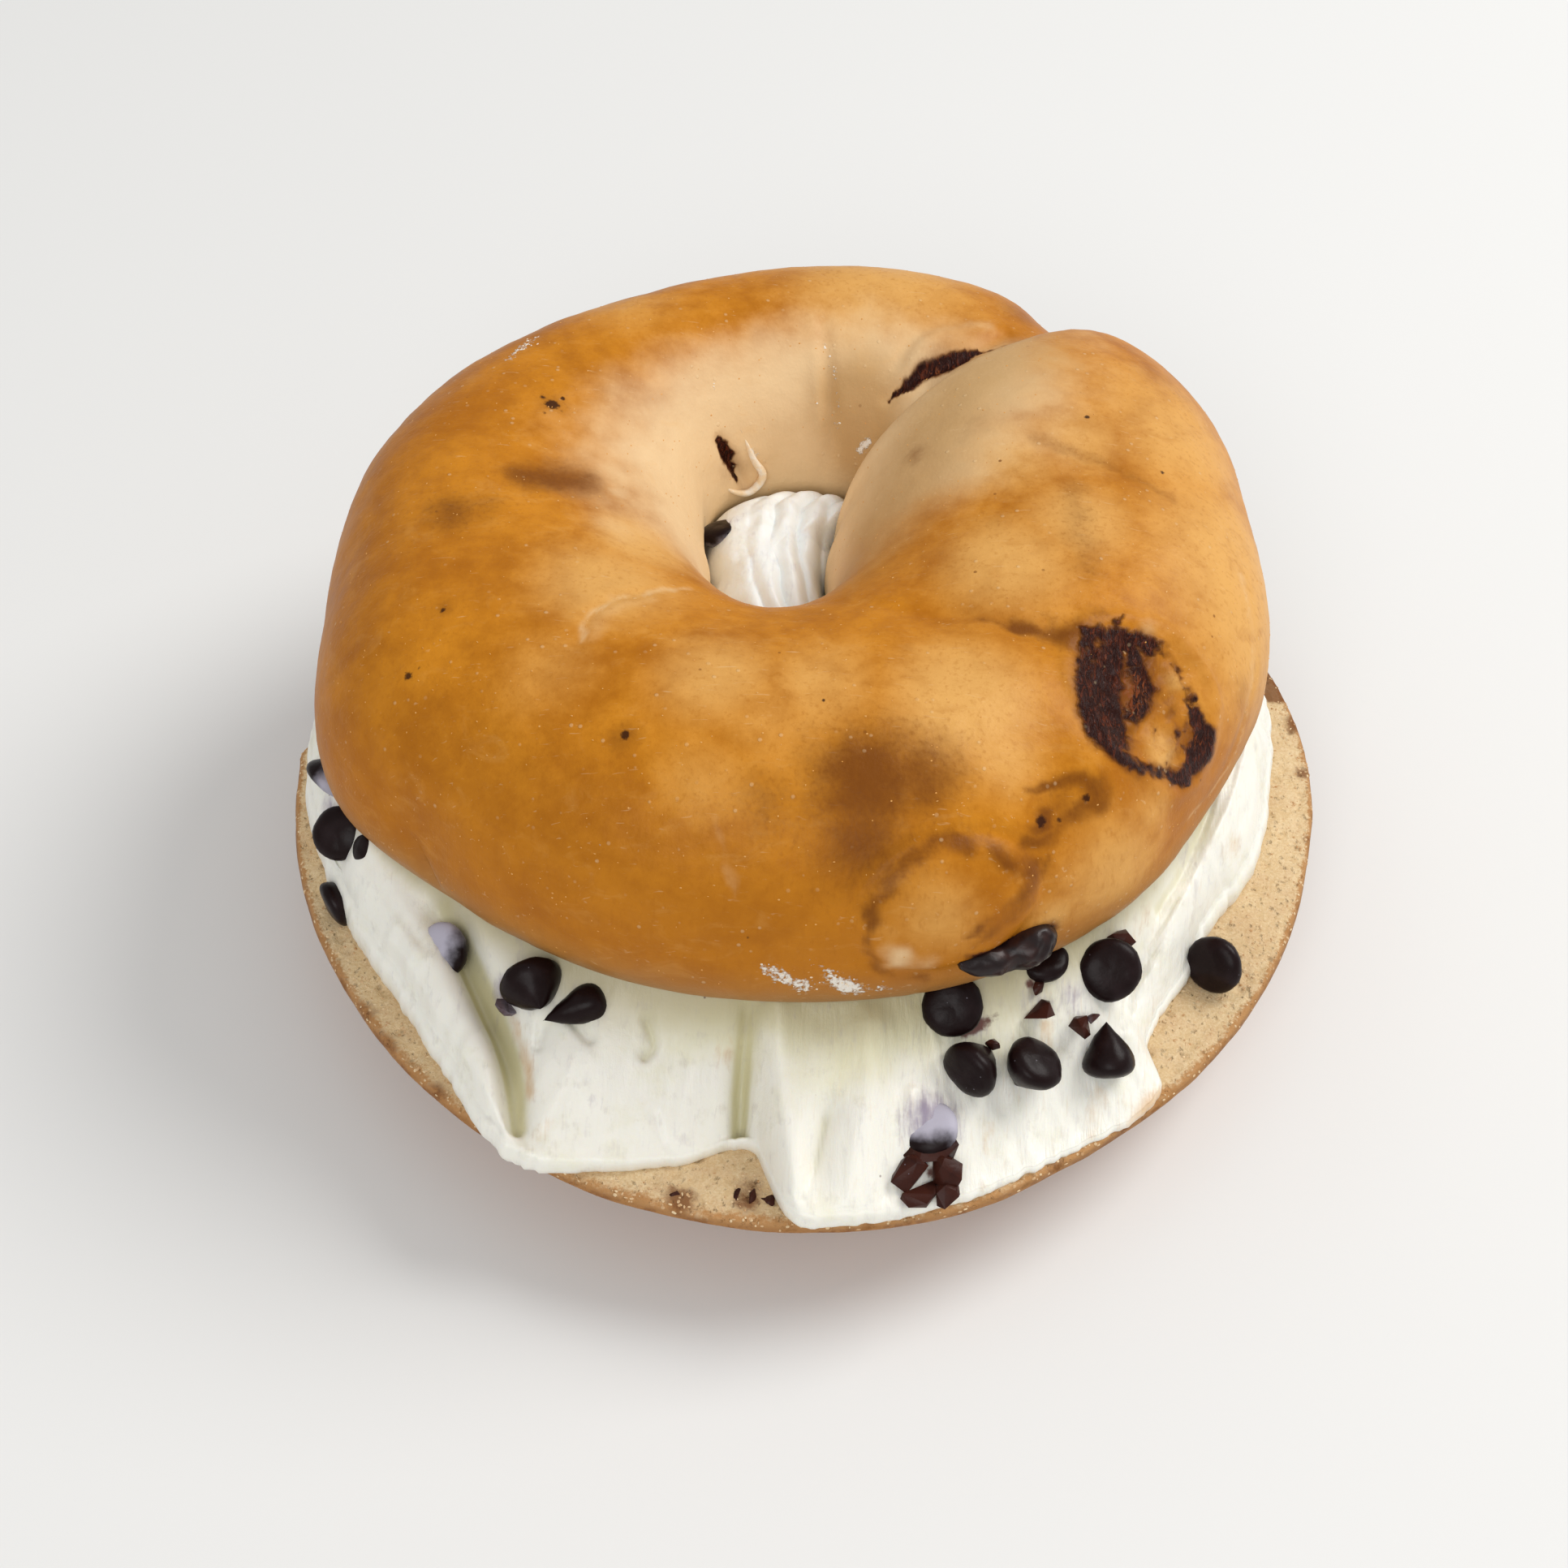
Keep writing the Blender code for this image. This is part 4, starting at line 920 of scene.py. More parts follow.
def bagel_bottom(crust, crumb):
    """The lower half: a recipe sweeps its section round."""
    profile = bottom_profile()
    section = point_cloud("bottom_section", [(reach, 0.0, height) for reach, height in profile], {})
    start = point_cloud("bottom_start", [(0.0, 0.0, 0.0)], {})
    bread = crumb_finish(crust, crumb)
    piece = bottom_recipe(len(profile)).run(
        "bagel_bottom_bread", start, Section=section, Steps=crumb.steps, Crumb_relief=0.30 * MM,
        Crust_relief=0.5 * MM, Bread=bread)
    turn_out(piece.data)
    discard(section)
    discard(start)
    dress(piece, bread, "crust_bottom", "bagel_bottom")
    return piece


# Brown spots and stains of the cut face: where, half-width, strength.
TOAST_MARKS = (
    (53.4, 16.4, 2.2, 2.2), (52.8, 18.8, 2, 2), (-10.4, -54.6, 2, 1), (-4, -54, 2.6, 0.75),
    (-43.6, -34.6, 2.4, 0.6), (-40.8, -38.2, 2, 0.6), (-47.4, -29.6, 2, 0.5),
    (-35, -43.8, 2, 0.6), (54.8, 11, 1.6, 0.9), (55, 3.5, 1.2, 0.8), (54.6, -6, 1, 0.6),
    (44, -20, 2.5, 0.25), (33, -44.5, 2, 0.6), (26, -49.5, 2.2, 0.6),
)


def crumb_finish(crust, crumb):
    """Toasted crumb on the cut face, with open pores darkened by painted shade and a browned rim, and baked
    skin below it.
    """
    bread = Finish("toasted_crumb")
    cut = bread.attribute("cut")
    rim = bread.attribute("rim")
    wave = bread.noise(7.0, 4.0, 0.6)
    mottle = bread.noise(1.7, 4.0, 0.65, shift=5.0)
    sand = bread.noise(0.33, 3.0, 0.7)
    holes = bread.noise(0.70, 3.0, 0.6, stretch=(0.9, 1.3, 1.0), shift=9.0)
    large = bread.cells(2.1)
    toast = 0.0
    for x, y, width, strength in TOAST_MARKS:
        away = bread.away_from((x, y, BOTTOM_HEIGHT))
        toast = away.step(width * 1.5, 0.0) * strength + toast
    toast = (toast + (mottle - 0.5) * 1.3 + (sand - 0.5) * 0.5).step(0.25, 0.85)
    front = bread.part(bread.place, 1).step(-20.0, -50.0)
    ragged = (mottle - 0.5) * (0.9 + front * 2.2) + (wave - 0.5) * (0.7 + front * 1.6) + (sand - 0.5) * 1.2
    browned = (rim + ragged).step(0.5 + front * 0.8, 0.0)

    color = bread.mix((sand + (mottle - 0.5) * 0.8).step(0.30, 0.75), crumb.sand, crumb.light)
    color = bread.coats(
        color,
        ((wave + mottle - 1.0).step(-0.10, 0.35) * 0.40, crumb.toast),
        # Painted shade in the pores.
        (holes.step(0.38, 0.28) * 0.55, crumb.pore),
        (large.step(0.24, 0.10) * (mottle.step(0.45, 0.60)) * 0.60, crumb.pore),
        (browned * 0.80, crumb.toast),
        (toast * 0.85, crust.brown),
    )

    skin_wave = bread.noise(10.0, 4.0, 0.55, distortion=0.6)
    skin = bread.mix((skin_wave + (mottle - 0.5) * 0.5).step(0.30, 0.72), crust.amber, crust.golden)
    skin = bread.mix(bread.height().step(7.0, 12.5) * 0.75, skin, crust.low)
    skin = bread.mix(bread.height().step(0.6, 0.0) * 0.5, skin, crust.brown)
    skin = bread.mix((mottle + sand * 0.3).step(0.58, 0.78) * 0.6, skin, crust.brown)
    color = bread.mix(cut, skin, color)
    rough_crumb = 0.75 + sand * 0.15
    roughness = rough_crumb * cut + (0.40 + mottle * 0.15) * (1 - cut)
    relief = (sand * 0.6 + holes.step(0.28, 0.42) * 0.6) * cut + (mottle * 0.4 + sand * 0.15) * (1 - cut)
    return bread.finish(color, roughness, bread.bump(relief, 0.22), Specular_IOR_Level=0.35)


# ---------------------------------------------------------------- cream cheese

CREAM_AROUND = 520
MOUND_RINGS, BRIDGE_RINGS, SLOPE_RINGS, WALL_RINGS = 46, 4, 96, 9
CREAM_EDGE = ((-180, 52.4), (-170, 52.9), (-160, 52.3), (-148, 51.7), (-138, 51.9), (-128, 54),
              (-117, 57.6), (-110, 54.9), (-102, 51.7), (-94.5, 48.8), (-90, 56), (-84, 56.7),
              (-74, 55.8), (-60, 54.5), (-48, 54), (-44.5, 49), (-34, 47.2), (-24, 46.6),
              (-14, 48.6), (-2, 49.6), (10, 51), (35, 50.4), (52, 52.5), (70, 52), (90, 53.5),
              (112, 52), (135, 49.5), (152, 50.5), (166, 50.8))
CREAM_EDGE_THICKNESS = ((-170, 7), (-140, 4.5), (-115, 2.6), (-100, 1.4), (-88, 2.2), (-66, 0.9),
                        (-49, 1), (-25, 3), (0, 5.5), (60, 8), (180, 8))
CREAM_SLOPE = ((-170, 0.7), (-130, 1.1), (-105, 1.3), (-85, 1.1), (-55, 1.3), (-20, 0.9), (60, 0.6))
CREAM_MOUND_HEIGHT = 8.5
MOUND_FOLD_WIDTH = 2.9
MOUND_FOLD_HEIGHT = 1.4
# Ridges and furrows that the knife left: plan path, half-width, height.
CREAM_STROKES = (
    (((-45, -22.6), (-43, -26.3), (-38.8, -31.5), (-34.4, -37.6), (-30.6, -43.5), (-27.7, -49.8)),
     2.8, 2),
    (((-35.4, -28.9), (-32.4, -34.4), (-29, -39.8), (-26.9, -44.5), (-25.9, -50.5)), 1.5, -2.4),
    (((-4.6, -39), (-5, -44), (-5.2, -48)), 1.1, -2.4),
    (((-2.2, -39), (-2.3, -45.5), (-1.2, -50.5), (0.8, -56)), 1.7, 1.8),
    (((3, -48.5), (2.2, -53.2), (1.4, -57)), 1.1, -1.3),
    (((7.3, -41.5), (6.7, -50.3), (5.6, -56.6)), 1.9, 1.3),
    (((48.1, -1), (45.9, -9.6), (42, -17.4), (37.6, -26), (34.5, -33.5)), 2, 1.9),
    (((41.5, -11), (39, -18), (35.6, -24.5), (32, -34.5)), 1.3, -1.5),
    (((-18, -38.5), (-12, -42), (-8, -43)), 4, -1),
)
# Finer marks: lines beside the folds, small dents and the dome over the broken chip.
CREAM_LINES = (
    (((-33.8, -31.4), (-31, -36.6), (-28.4, -42), (-26.8, -49)), 1, -2.2),
    (((-40.5, -31), (-36, -36.5), (-32.2, -42.5), (-29.2, -49.5)), 1.7, 1.3),
    (((-4.9, -39), (-5.2, -43.5), (-5, -48.5)), 0.45, -0.9),
    (((3.4, -47), (2.4, -51.5), (0.9, -56.5)), 0.45, -0.5),
    (((9.8, -50), (9.2, -53.5), (9, -56)), 0.5, -0.35),
    (((11.2, -46), (10.2, -49), (9.6, -52)), 0.6, 0.35),
    (((-22.2, -39.8), (-20.8, -41.2), (-20, -42)), 0.6, -0.8),
    (((-14.5, -40.5), (-13.8, -42.2), (-14.6, -43.2)), 0.45, -0.8),
    (((-24.6, -40.6), (-25, -42.2)), 0.5, -0.7), (((-13.4, -47.5), (-11.8, -51.5)), 0.3, -0.35),
    (((43.5, -7), (40.5, -15), (36, -23)), 0.5, -0.5),
    (((46.5, -3), (44, -11), (40, -19), (36.5, -26.5)), 0.5, 0.3),
    (((47, -8), (43.5, -15.5)), 0.5, -0.4),
    (((-46, -20), (-41.5, -27), (-37, -33)), 0.6, -0.3),
    (((-39, -33.5), (-35.5, -38.5), (-32.5, -43)), 0.8, 0.35),
)
CREAM_DOMES = (
    ((13.2, -48.6), 2.9, 1.5), ((31, -30.8), 3.6, 0.5), ((-34.5, -33.2), 3.4, 0.7),
    ((-46.6, -18.6), 3.2, -1.3), ((-38.5, -33), 2.6, 0.35), ((21, -37), 2, -0.5),
    ((-24.5, -41), 3, -0.4),
)
STREAKINESS = ((-180, 0.30), (-120, 0.15), (-100, 0.22), (-82, 0.55), (-66, 1), (-48, 1.1), (-30, 0.8),
               (0, 0.45), (90, 0.35))
# Colours: where, half-width, strength.
VIOLET_MARKS = (
    ((13.2, -48.2, 19), 2.9, 1), ((-28.6, -37.2, 21.5), 1.9, 0.9), ((-34.4, -33.2, 22), 1.9, 0.45),
    ((-49.5, -15.5, 22.5), 2.6, 0.6), ((31.2, -29, 22.5), 2.4, 0.5), ((26.8, -34.8, 21.8), 1.8, 0.55),
    ((17, -39.4, 22.6), 1.6, 0.7), ((23, -35.6, 23.2), 1.6, 0.45), ((-9.9, 19.4, 31.3), 1.8, 0.8),
    ((-19, -47, 18), 1.8, 0.16), ((39.5, -17.5, 22.8), 1.6, 0.45), ((30.5, -52, 15), 1.5, 0.2),
)
STAIN_MARKS = (
    # The first smear, along the crease beside the left lip, is caramel stain and painted shade in the crease.
    (((-28.4, -40, 20.4), (-26.9, -43, 19.3), (-26.2, -46, 18)), 1.2, 1),
    (((24.3, -38, 21.2), (25.3, -41.5, 19)), 0.9, 0.75),
    (((30, -42.5, 16.8), (28.8, -47.5, 15), (27.6, -50.5, 14.6)), 1.2, 0.75),
    (((-24, -50.2, 16), (-23.5, -49, 16.9)), 1, 0.4), ((44.6, -13.5, 20.8), 2, 0.45),
    (((20, -55.2, 14.4), (27.5, -51.8, 14.3), (34.5, -46, 14.5)), 1.7, 0.85),
    (((33, -29.5, 21.5), (36, -24, 22.6)), 1.8, 0.35), ((-6.6, -42.8, 20.8), 2, 0.35),
    (((31.5, -48, 14.6), (36.5, -41.5, 14.6)), 1.6, 0.95),
    (((19, -47, 17), (18.5, -53, 15)), 0.6, 0.5),
    (((25, -45.5, 17), (23.6, -51.5, 15)), 0.7, 0.55),
    (((8, -40.5, 22), (7.6, -46, 20)), 0.5, 0.30),
)
COCOA_MARKS = (
    (((13.4, -52.2, 16.6), (15.8, -55.4, 14.6)), 1, 0.9),
    (((16, -40.2, 22.4), (19.5, -38.6, 23)), 0.9, 0.9), ((26.6, -34.2, 22.2), 0.9, 0.6),
    ((-26.9, -37.6, 21.8), 1, 0.95), ((22.4, -34.9, 23.6), 0.9, 0.8), ((12.6, -56.2, 14), 0.8, 0.6),
    ((-10.6, -48.5, 16.6), 0.34, 1), ((-25.7, -46.8, 18), 0.36, 1),
    ((25.1, -47.9, 15.5), 0.33, 1), ((2, -47.2, 21), 0.24, 1), ((-22.9, -49.4, 17.2), 0.24, 0.9),
    ((-24.6, -50.9, 15.6), 0.34, 0.9), ((-5.4, -46.2, 18.6), 0.22, 0.9),
    ((-13.9, -43.2, 20.6), 0.22, 0.9), ((39.8, -17.9, 22.6), 0.7, 0.7),
)


def crust_reach(azimuth):
    """Distance from the origin to the top half's outer cut edge."""
    cosine, sine = np.cos(azimuth), np.sin(azimuth)
    reach = np.full_like(azimuth, TOP_RADIUS)
    for _ in range(12):
        x, y = reach * cosine - TOP_CENTRE[0], reach * sine - TOP_CENTRE[1]
        reach = reach + top_rim(np.arctan2(y, x)) - TUCK - np.hypot(x, y)
    return reach


def plan_relief(flat, strokes):
    relief = np.zeros(flat.shape[:-1])
    for path, width, height in strokes:
        distance, _ = to_path(flat, curve(path))
        relief += height * np.exp(-(distance / width) ** 2)
    return relief


def cream_edge(azimuth):
    """The cream's outline, ragged where the knife left it thin."""
    spots = np.stack([54 * np.cos(azimuth), 54 * np.sin(azimuth), 0 * azimuth], -1)
    ragged = 0.28 * rough(spots, 2.6, 3) + 0.16 * rough(spots + 40.0, 0.8, 2)
    lip = np.exp(-((np.degrees(azimuth) + 118) / 5.0) ** 2)
    return around(CREAM_EDGE, azimuth) + ragged + 0.5 * lip * rough(spots + 80.0, 0.9, 2)


def cream_slope(azimuth, share, streaks):
    """The open surface, from the top half's cut edge (share 0) to the cream's own edge (share 1)."""
    outer = cream_edge(azimuth)
    inner = np.minimum(crust_reach(azimuth), around(CREAM_EDGE, azimuth) - 1.5) - 1.0
    reach = inner + (outer - inner) * share
    flat = np.stack([reach * np.cos(azimuth), reach * np.sin(azimuth)], -1)
    low = BOTTOM_HEIGHT + around(CREAM_EDGE_THICKNESS, azimuth)
    high = CUT_HEIGHT - 0.1
    fall = (1 - share) ** around(CREAM_SLOPE, azimuth)
    blend = np.sin(np.clip(share, 0, 1) * math.pi) ** 0.5
    height = low + (high - low) * fall + plan_relief(flat, CREAM_STROKES) * blend
    blend_fine = smooth(0.0, 0.10, share) * smooth(1.0, 0.93, share)
    fine = plan_relief(flat, CREAM_LINES)
    for centre, width, rise in CREAM_DOMES:
        fine += rise * np.exp(-((flat - np.array(centre)) ** 2).sum(-1) / width ** 2)
    turn = azimuth + 0 * share
    radial = np.stack([turn * 52, reach, 0 * reach], -1)
    side = smooth(math.radians(-50), math.radians(-38), turn)
    along = rough(radial, np.array((0.75, 9.0, 1.0)), 3) * (1 - side) + side * rough(
        radial + 30.0, np.array((9.0, 0.9, 1.0)), 3)
    fine += streaks * around(STREAKINESS, turn) * along
    fine += 0.22 * rough(np.stack([flat[..., 0], flat[..., 1], 0 * reach], -1), 5.0)
    return np.stack([flat[..., 0], flat[..., 1], height + fine * blend_fine], -1)


def mound(azimuth, share):
    """The cream that rises in the hole, from its peak (share 0) to the hole's wall (share 1).

    Its left face is smooth and uneven folds run down its right.
    """
    reach = (around(HOLE_EDGE, azimuth) + 0.3) * share
    x = HOLE_CENTRE[0] + reach * np.cos(azimuth)
    y = HOLE_CENTRE[1] + reach * np.sin(azimuth)
    dome = np.sqrt(np.clip(1 - share ** 2, 0, 1))
    z = CUT_HEIGHT - 0.1 + CREAM_MOUND_HEIGHT * dome
    spots = np.stack(np.broadcast_arrays(x, y, z), -1)
    bend = (y - HOLE_CENTRE[1]) / 10.0
    across = (x - HOLE_CENTRE[0]) - 2.6 * bend ** 2 + 1.6 * bend + 0.8 * rough(spots, 6.0)
    fold = np.abs(np.sin(math.pi * across / MOUND_FOLD_WIDTH)) - 0.5
    folded = smooth(-4.0, 1.5, x - HOLE_CENTRE[0]) * (0.85 + 0.3 * rough(spots + 20.0, 5.0))
    spots[..., 2] += (MOUND_FOLD_HEIGHT * fold * folded + 0.35 * rough(spots, 3.5)
                      + 0.06 * rough(spots, 0.8)) * dome * smooth(0.0, 0.3, share)
    return spots


def by_ring(inner, inner_value, slope, outer, outer_value):
    """Values of all the cream's points: in the hole, on the slope, and below its edge."""
    return np.concatenate([np.full(inner, inner_value).ravel(), slope.ravel(),
                           np.full(outer, outer_value).ravel(), (inner_value, outer_value)])


def cream_cheese(look):
    azimuth = uneven_steps(CREAM_AROUND, 0.42)[None, :]
    middle = mound(azimuth, np.linspace(0.03, 1.0, MOUND_RINGS)[:, None])
    share = np.linspace(0.0, 1.0, SLOPE_RINGS)[:, None]
    slope = cream_slope(azimuth, share, look.streaks)
    bridge = np.linspace(0.15, 0.85, BRIDGE_RINGS)[:, None, None]
    bridge = middle[-1] * (1 - bridge) + slope[0] * bridge
    edge, base = slope[-1], BOTTOM_HEIGHT - 0.25
    bend = np.linspace(0.0, math.pi, WALL_RINGS + 1)[1:, None]
    drop = edge[:, 2] - base
    out = 0.30 * drop * np.sin(bend) * np.minimum(1.0, 3.0 / drop)
    lowering = base + drop * (1 + np.cos(bend)) / 2
    wall = np.stack([edge[:, 0] + out * np.cos(azimuth), edge[:, 1] + out * np.sin(azimuth), lowering], -1)
    grid = np.concatenate([middle, bridge, slope, wall])
    # Painted shade: a yellow tint on the cream near the crust's edge, strongest at the front.
    crust_shade = smooth(0.72, 0.05, share) * (0.40 + 0.60 * np.exp(-((np.degrees(azimuth) + 84) / 17) ** 2))
    # Painted shade in the creases, from the depth of the knife marks.
    hollow = smooth(-0.6, -2.6, plan_relief(slope[..., :2], CREAM_STROKES + CREAM_LINES))
    # Painted shadow under the crust's edge, and weaker in the creases.
    deep = np.maximum(smooth(0.36, 0.04, share), hollow * 0.45)
    inner, outer = (MOUND_RINGS + BRIDGE_RINGS, CREAM_AROUND), (WALL_RINGS, CREAM_AROUND)
    points, faces = lattice(grid, closed=False)
    places = np.asarray(points)
    values = {
        "warm": by_ring(inner, 0.0, np.maximum(crust_shade, hollow), outer, 0.0),
        "deep": by_ring(inner, 0.0, deep, outer, 0.0),
        "clear": by_ring(inner, 1.0, 0 * crust_shade, outer, 0.0),
        "drag": by_ring(inner, 0.0, np.clip(around(STREAKINESS, azimuth) + 0 * crust_shade, 0.0, 1.0), outer, 0.2),
        "violet": marks(places, VIOLET_MARKS),
        "stain": marks(places, STAIN_MARKS),
        "cocoa": marks(places, COCOA_MARKS),
    }
    piece = make_mesh("cream_cheese_spread", points, faces, values)
    dress(piece, cream_finish(look), "cream", "cream_cheese")
    return piece


def cream_finish(look):
    """Soft white cream: painted yellow shade near the crust and in its creases, a painted shadow under the
    crust, a painted cooler light in the hole, violet by the chips, with caramel and cocoa smears.
    """
    cream = Finish("cream_cheese")
    wave = cream.noise(6.0, 3.0, 0.5)
    mottle = cream.noise(1.6, 4.0, 0.6, shift=4.0)
    grain = cream.noise(0.35, 3.0, 0.6)
    drawn = cream.noise(0.9, 3.0, 0.6, stretch=(0.8, 6.0, 3.0), distortion=0.9, shift=14.0)
    # Painted shade near the crust and in the creases, made uneven.
    warm = (cream.attribute("warm") + (wave - 0.5) * 0.9).step(0.05, 0.95)
    violet = (cream.attribute("violet") + (mottle - 0.5) * 0.5 + (drawn - 0.5) * 0.9).step(0.12, 0.95)
    stain = (cream.attribute("stain") + (mottle - 0.5) * 0.4 + (drawn - 0.5) * 0.6).step(0.12, 0.80)
    drag = cream.attribute("drag")
    thread = cream.noise(0.45, 2.0, 0.5, stretch=(0.7, 9.0, 4.0), distortion=0.3, shift=41.0)
    cocoa = (cream.attribute("cocoa") + (mottle - 0.5) * 0.7 + (grain - 0.5) * 0.3).step(0.42, 0.78)
    color = cream.mix(warm, look.white, look.warm)
    color = cream.coats(
        color,
        ((wave + mottle - 1.0).step(0.0, 0.30) * 0.25, look.warm),
        (thread.step(0.56, 0.75) * drag * 0.17, look.stain),
        (thread.step(0.44, 0.25) * drag * 0.10, look.violet),
        # Painted light over the whole cream in the hole.
        (cream.attribute("clear"), look.clear),
        # Painted shadow under the crust and in the creases.
        (cream.attribute("deep") * 0.80, look.deep),
        ((mottle + drawn - 1.0).step(0.05, 0.30) * 0.12, look.violet),
        (violet * 0.95, look.violet),
        (stain * 0.75, look.stain),
        (cocoa * 0.95, look.cocoa),
    )
    speck = cream.cells(4.3, shift=2.0).step(0.045, 0.025) * cream.noise(8.0, 2.0, shift=6.0).step(0.50, 0.60)
    color = cream.mix(speck * 0.85, color, look.cocoa)
    roughness = 0.30 + mottle * 0.16 + warm * 0.05
    relief = mottle * 0.35 + grain * 0.12 + drawn * (0.15 + drag * 0.60) + thread * drag * 0.25
    return cream.finish(color, roughness, cream.bump(relief, 0.16), Subsurface_Weight=0.15,
                        Subsurface_Radius=(1.0, 0.8, 0.5), Subsurface_Scale=1.2 * MM)


# ---------------------------------------------------------------- chocolate

CHIP_WIDEST = 0.77                  # largest value of sin(t) * sin(t / 2)
CHIP_TAPER = 1.3
CHIP_WIDEST_ANGLE = math.radians(109.5)
CHIP_AROUND, CHIP_RINGS = 30, 18
LUMP_AROUND, LUMP_STEPS = 56, 8     # of the lump: points round it, rings between two of its stops
SHARD_SEED, SHARD_CORNERS = 12, 13
SHARD_BEVEL = 0.26
# Name: place of the widest part, direction of the tip, width and length, how much cream clings to it.
CHIPS = {
    "chip_front_a": ((30.5, -32.3, 23), (0, 0.66, -0.75), (0.98, 1), 0),
    "chip_front_b": ((14.8, -38.7, 24.6), (0, 0.60, -0.80), (0.94, 1), 0),
    "chip_front_c": ((16.6, -44, 21.6), (0.61, 0.79, -0.11), (0.90, 1), 0),
    "chip_front_d": ((23, -42.7, 21.4), (-0.45, -0.10, -0.89), (0.90, 1), 0),
    "chip_front_e": ((30.6, -40.2, 18.2), (-0.10, 0.75, 0.66), (0.80, 1.15), 0),
    "chip_front_g": ((23.8, -32.4, 24.5), (0, 0.1, -1), (0.80, 0.76), 0),
    "chip_rim_f": ((42.4, -26, 16.3), (0.55, 0.70, -0.35), (0.95, 0.95), 0),
    "chip_drowned_h": ((13, -48.8, 18.6), (0.2, 0.3, -0.9), (0.84, 0.84), 0.75),
    "chip_side_j": ((-47.4, -18.7, 22.6), (0.15, 0.60, -0.75), (0.90, 1), 0),
    "chip_side_k": ((-49.4, -12.2, 23.3), (0.6, 0.5, 0.6), (0.86, 0.86), 0.35),
    "chip_side_m": ((-44.5, -21.9, 24.2), (0.7, 0.4, -0.6), (0.45, 0.45), 0),
    "chip_side_n": ((-48, -22.9, 16.2), (0.8, 0.5, 0.2), (0.80, 0.80), 0.1),
    "chip_left_p": ((-35.2, -32.6, 22), (0.5, 0.6, -0.6), (0.88, 0.88), 0.85),
    "chip_left_q": ((-25.9, -37.4, 23.8), (0.35, -0.93, 0.05), (0.98, 0.98), 0),
    "chip_left_r": ((-20.1, -38.9, 22.9), (-0.90, -0.42, -0.10), (0.60, 1.35), 0),
    "chip_mound": ((-10.6, 19.4, 31.4), (0.3, -0.3, -0.9), (0.70, 0.70), 0.40),
    "chip_back_a": ((44.6, 26.2, 19), (0.9, 0.3, 0.3), (1.00, 1), 0),
    "chip_back_b": ((32.5, 40.5, 21), (-0.5, -0.8, 0.1), (1.05, 1), 0.1),
    "chip_back_c": ((9.5, 52, 18.5), (0.2, 0.9, -0.4), (0.98, 1), 0),
    "chip_back_d": ((3.5, 53, 22.2), (-0.7, -0.6, 0.3), (1.02, 1), 0.45),
    "chip_back_e": ((-22.2, 46.2, 19.2), (-0.3, 0.7, 0.6), (1.05, 1), 0),
    "chip_back_f": ((-42.5, 27.8, 21.5), (0.6, -0.7, -0.2), (1.00, 1), 0),
}
# Which way the film of cream on a chip grows thicker, by how much in each millimetre.
DRAPES = {"chip_left_p": (-0.32, 0.12, 0), "chip_drowned_h": (0, 0.34, 0.10),
          "chip_side_k": (0.2, -0.2, 0), "chip_mound": (0.22, -0.10, -0.30)}
# Broken bits: place, half-sizes, turn about Z, how much cream clings to it.
SHARDS = (
    ((13.1, -50.6, 17.8), (3, 1.6, 1.5), 5, 0.25), ((11.2, -52.7, 16.8), (2.1, 2.2, 1.5), 20, 0),
    ((14.6, -52.2, 17), (2.1, 1.8, 1.5), -35, 0), ((12.3, -54.3, 15.8), (2.1, 1.5, 1.2), 30, 0.1),
    ((14.8, -54, 15.8), (1.3, 1.9, 1.1), -15, 0), ((18.8, -41.4, 22.3), (0.9, 0.8, 0.6), 30, 0),
    ((23.4, -37.4, 22.5), (1.7, 1.4, 1.2), 15, 0.15), ((27.6, -38, 21), (1.5, 1.2, 1.1), 55, 0.15),
    ((23.4, -34.3, 23.4), (0.8, 1.8, 0.8), -12, 0), ((29, -37, 21.2), (0.8, 0.6, 0.6), 10, 0.45),
    ((31.8, -29, 23.8), (1.7, 1.1, 1), 12, 0.25), ((-28.4, -38.6, 21.2), (1.3, 1, 0.7), -30, 0.45),
    ((-5.6, -53.8, 13.3), (1.1, 1, 0.5), 25, 0), ((-3.6, -54.1, 13.3), (0.6, 1.1, 0.5), -10, 0),
    ((-2.1, -54.3, 13.3), (0.8, 0.8, 0.4), 35, 0), ((-10.9, -54.2, 13.4), (0.7, 0.5, 0.4), 15, 0),
    ((48.5, 19, 13.3), (1.8, 1, 0.5), 60, 0),
)
# The lump baked into the crust: the stops of its axis and its half-width there.
CRUST_LUMP = (((14.8, -39.9, 32.6), 0.45), ((15.9, -39.4, 32.1), 1.05), ((17.4, -38.7, 31.8), 1.55),
              ((18.9, -38, 31.6), 1.50), ((20.5, -37.1, 31.8), 2.00), ((21.9, -36.4, 32), 2.10),
              ((23.1, -35.7, 32.2), 1.60), ((23.9, -35.2, 32.3), 0.50))


def chip_base(look):
    """A chip about its widest part, its tip up."""
    turns = np.linspace(-math.pi, math.pi, CHIP_AROUND, endpoint=False)[None, :]
    bend = np.linspace(0.05, math.pi - 0.07, CHIP_RINGS)[:, None]
    foot = ((1 + math.cos(CHIP_WIDEST_ANGLE)) / 2) ** CHIP_TAPER
    reach = look.radius / MM * np.sin(bend) * np.sin(bend / 2) / CHIP_WIDEST
    height = look.height / MM * (((1 + np.cos(bend)) / 2) ** CHIP_TAPER - foot)
    grid = np.stack(np.broadcast_arrays(reach * np.cos(turns), reach * np.sin(turns), height), -1)
    return make_mesh("chip_base", *lattice(grid, closed=False))


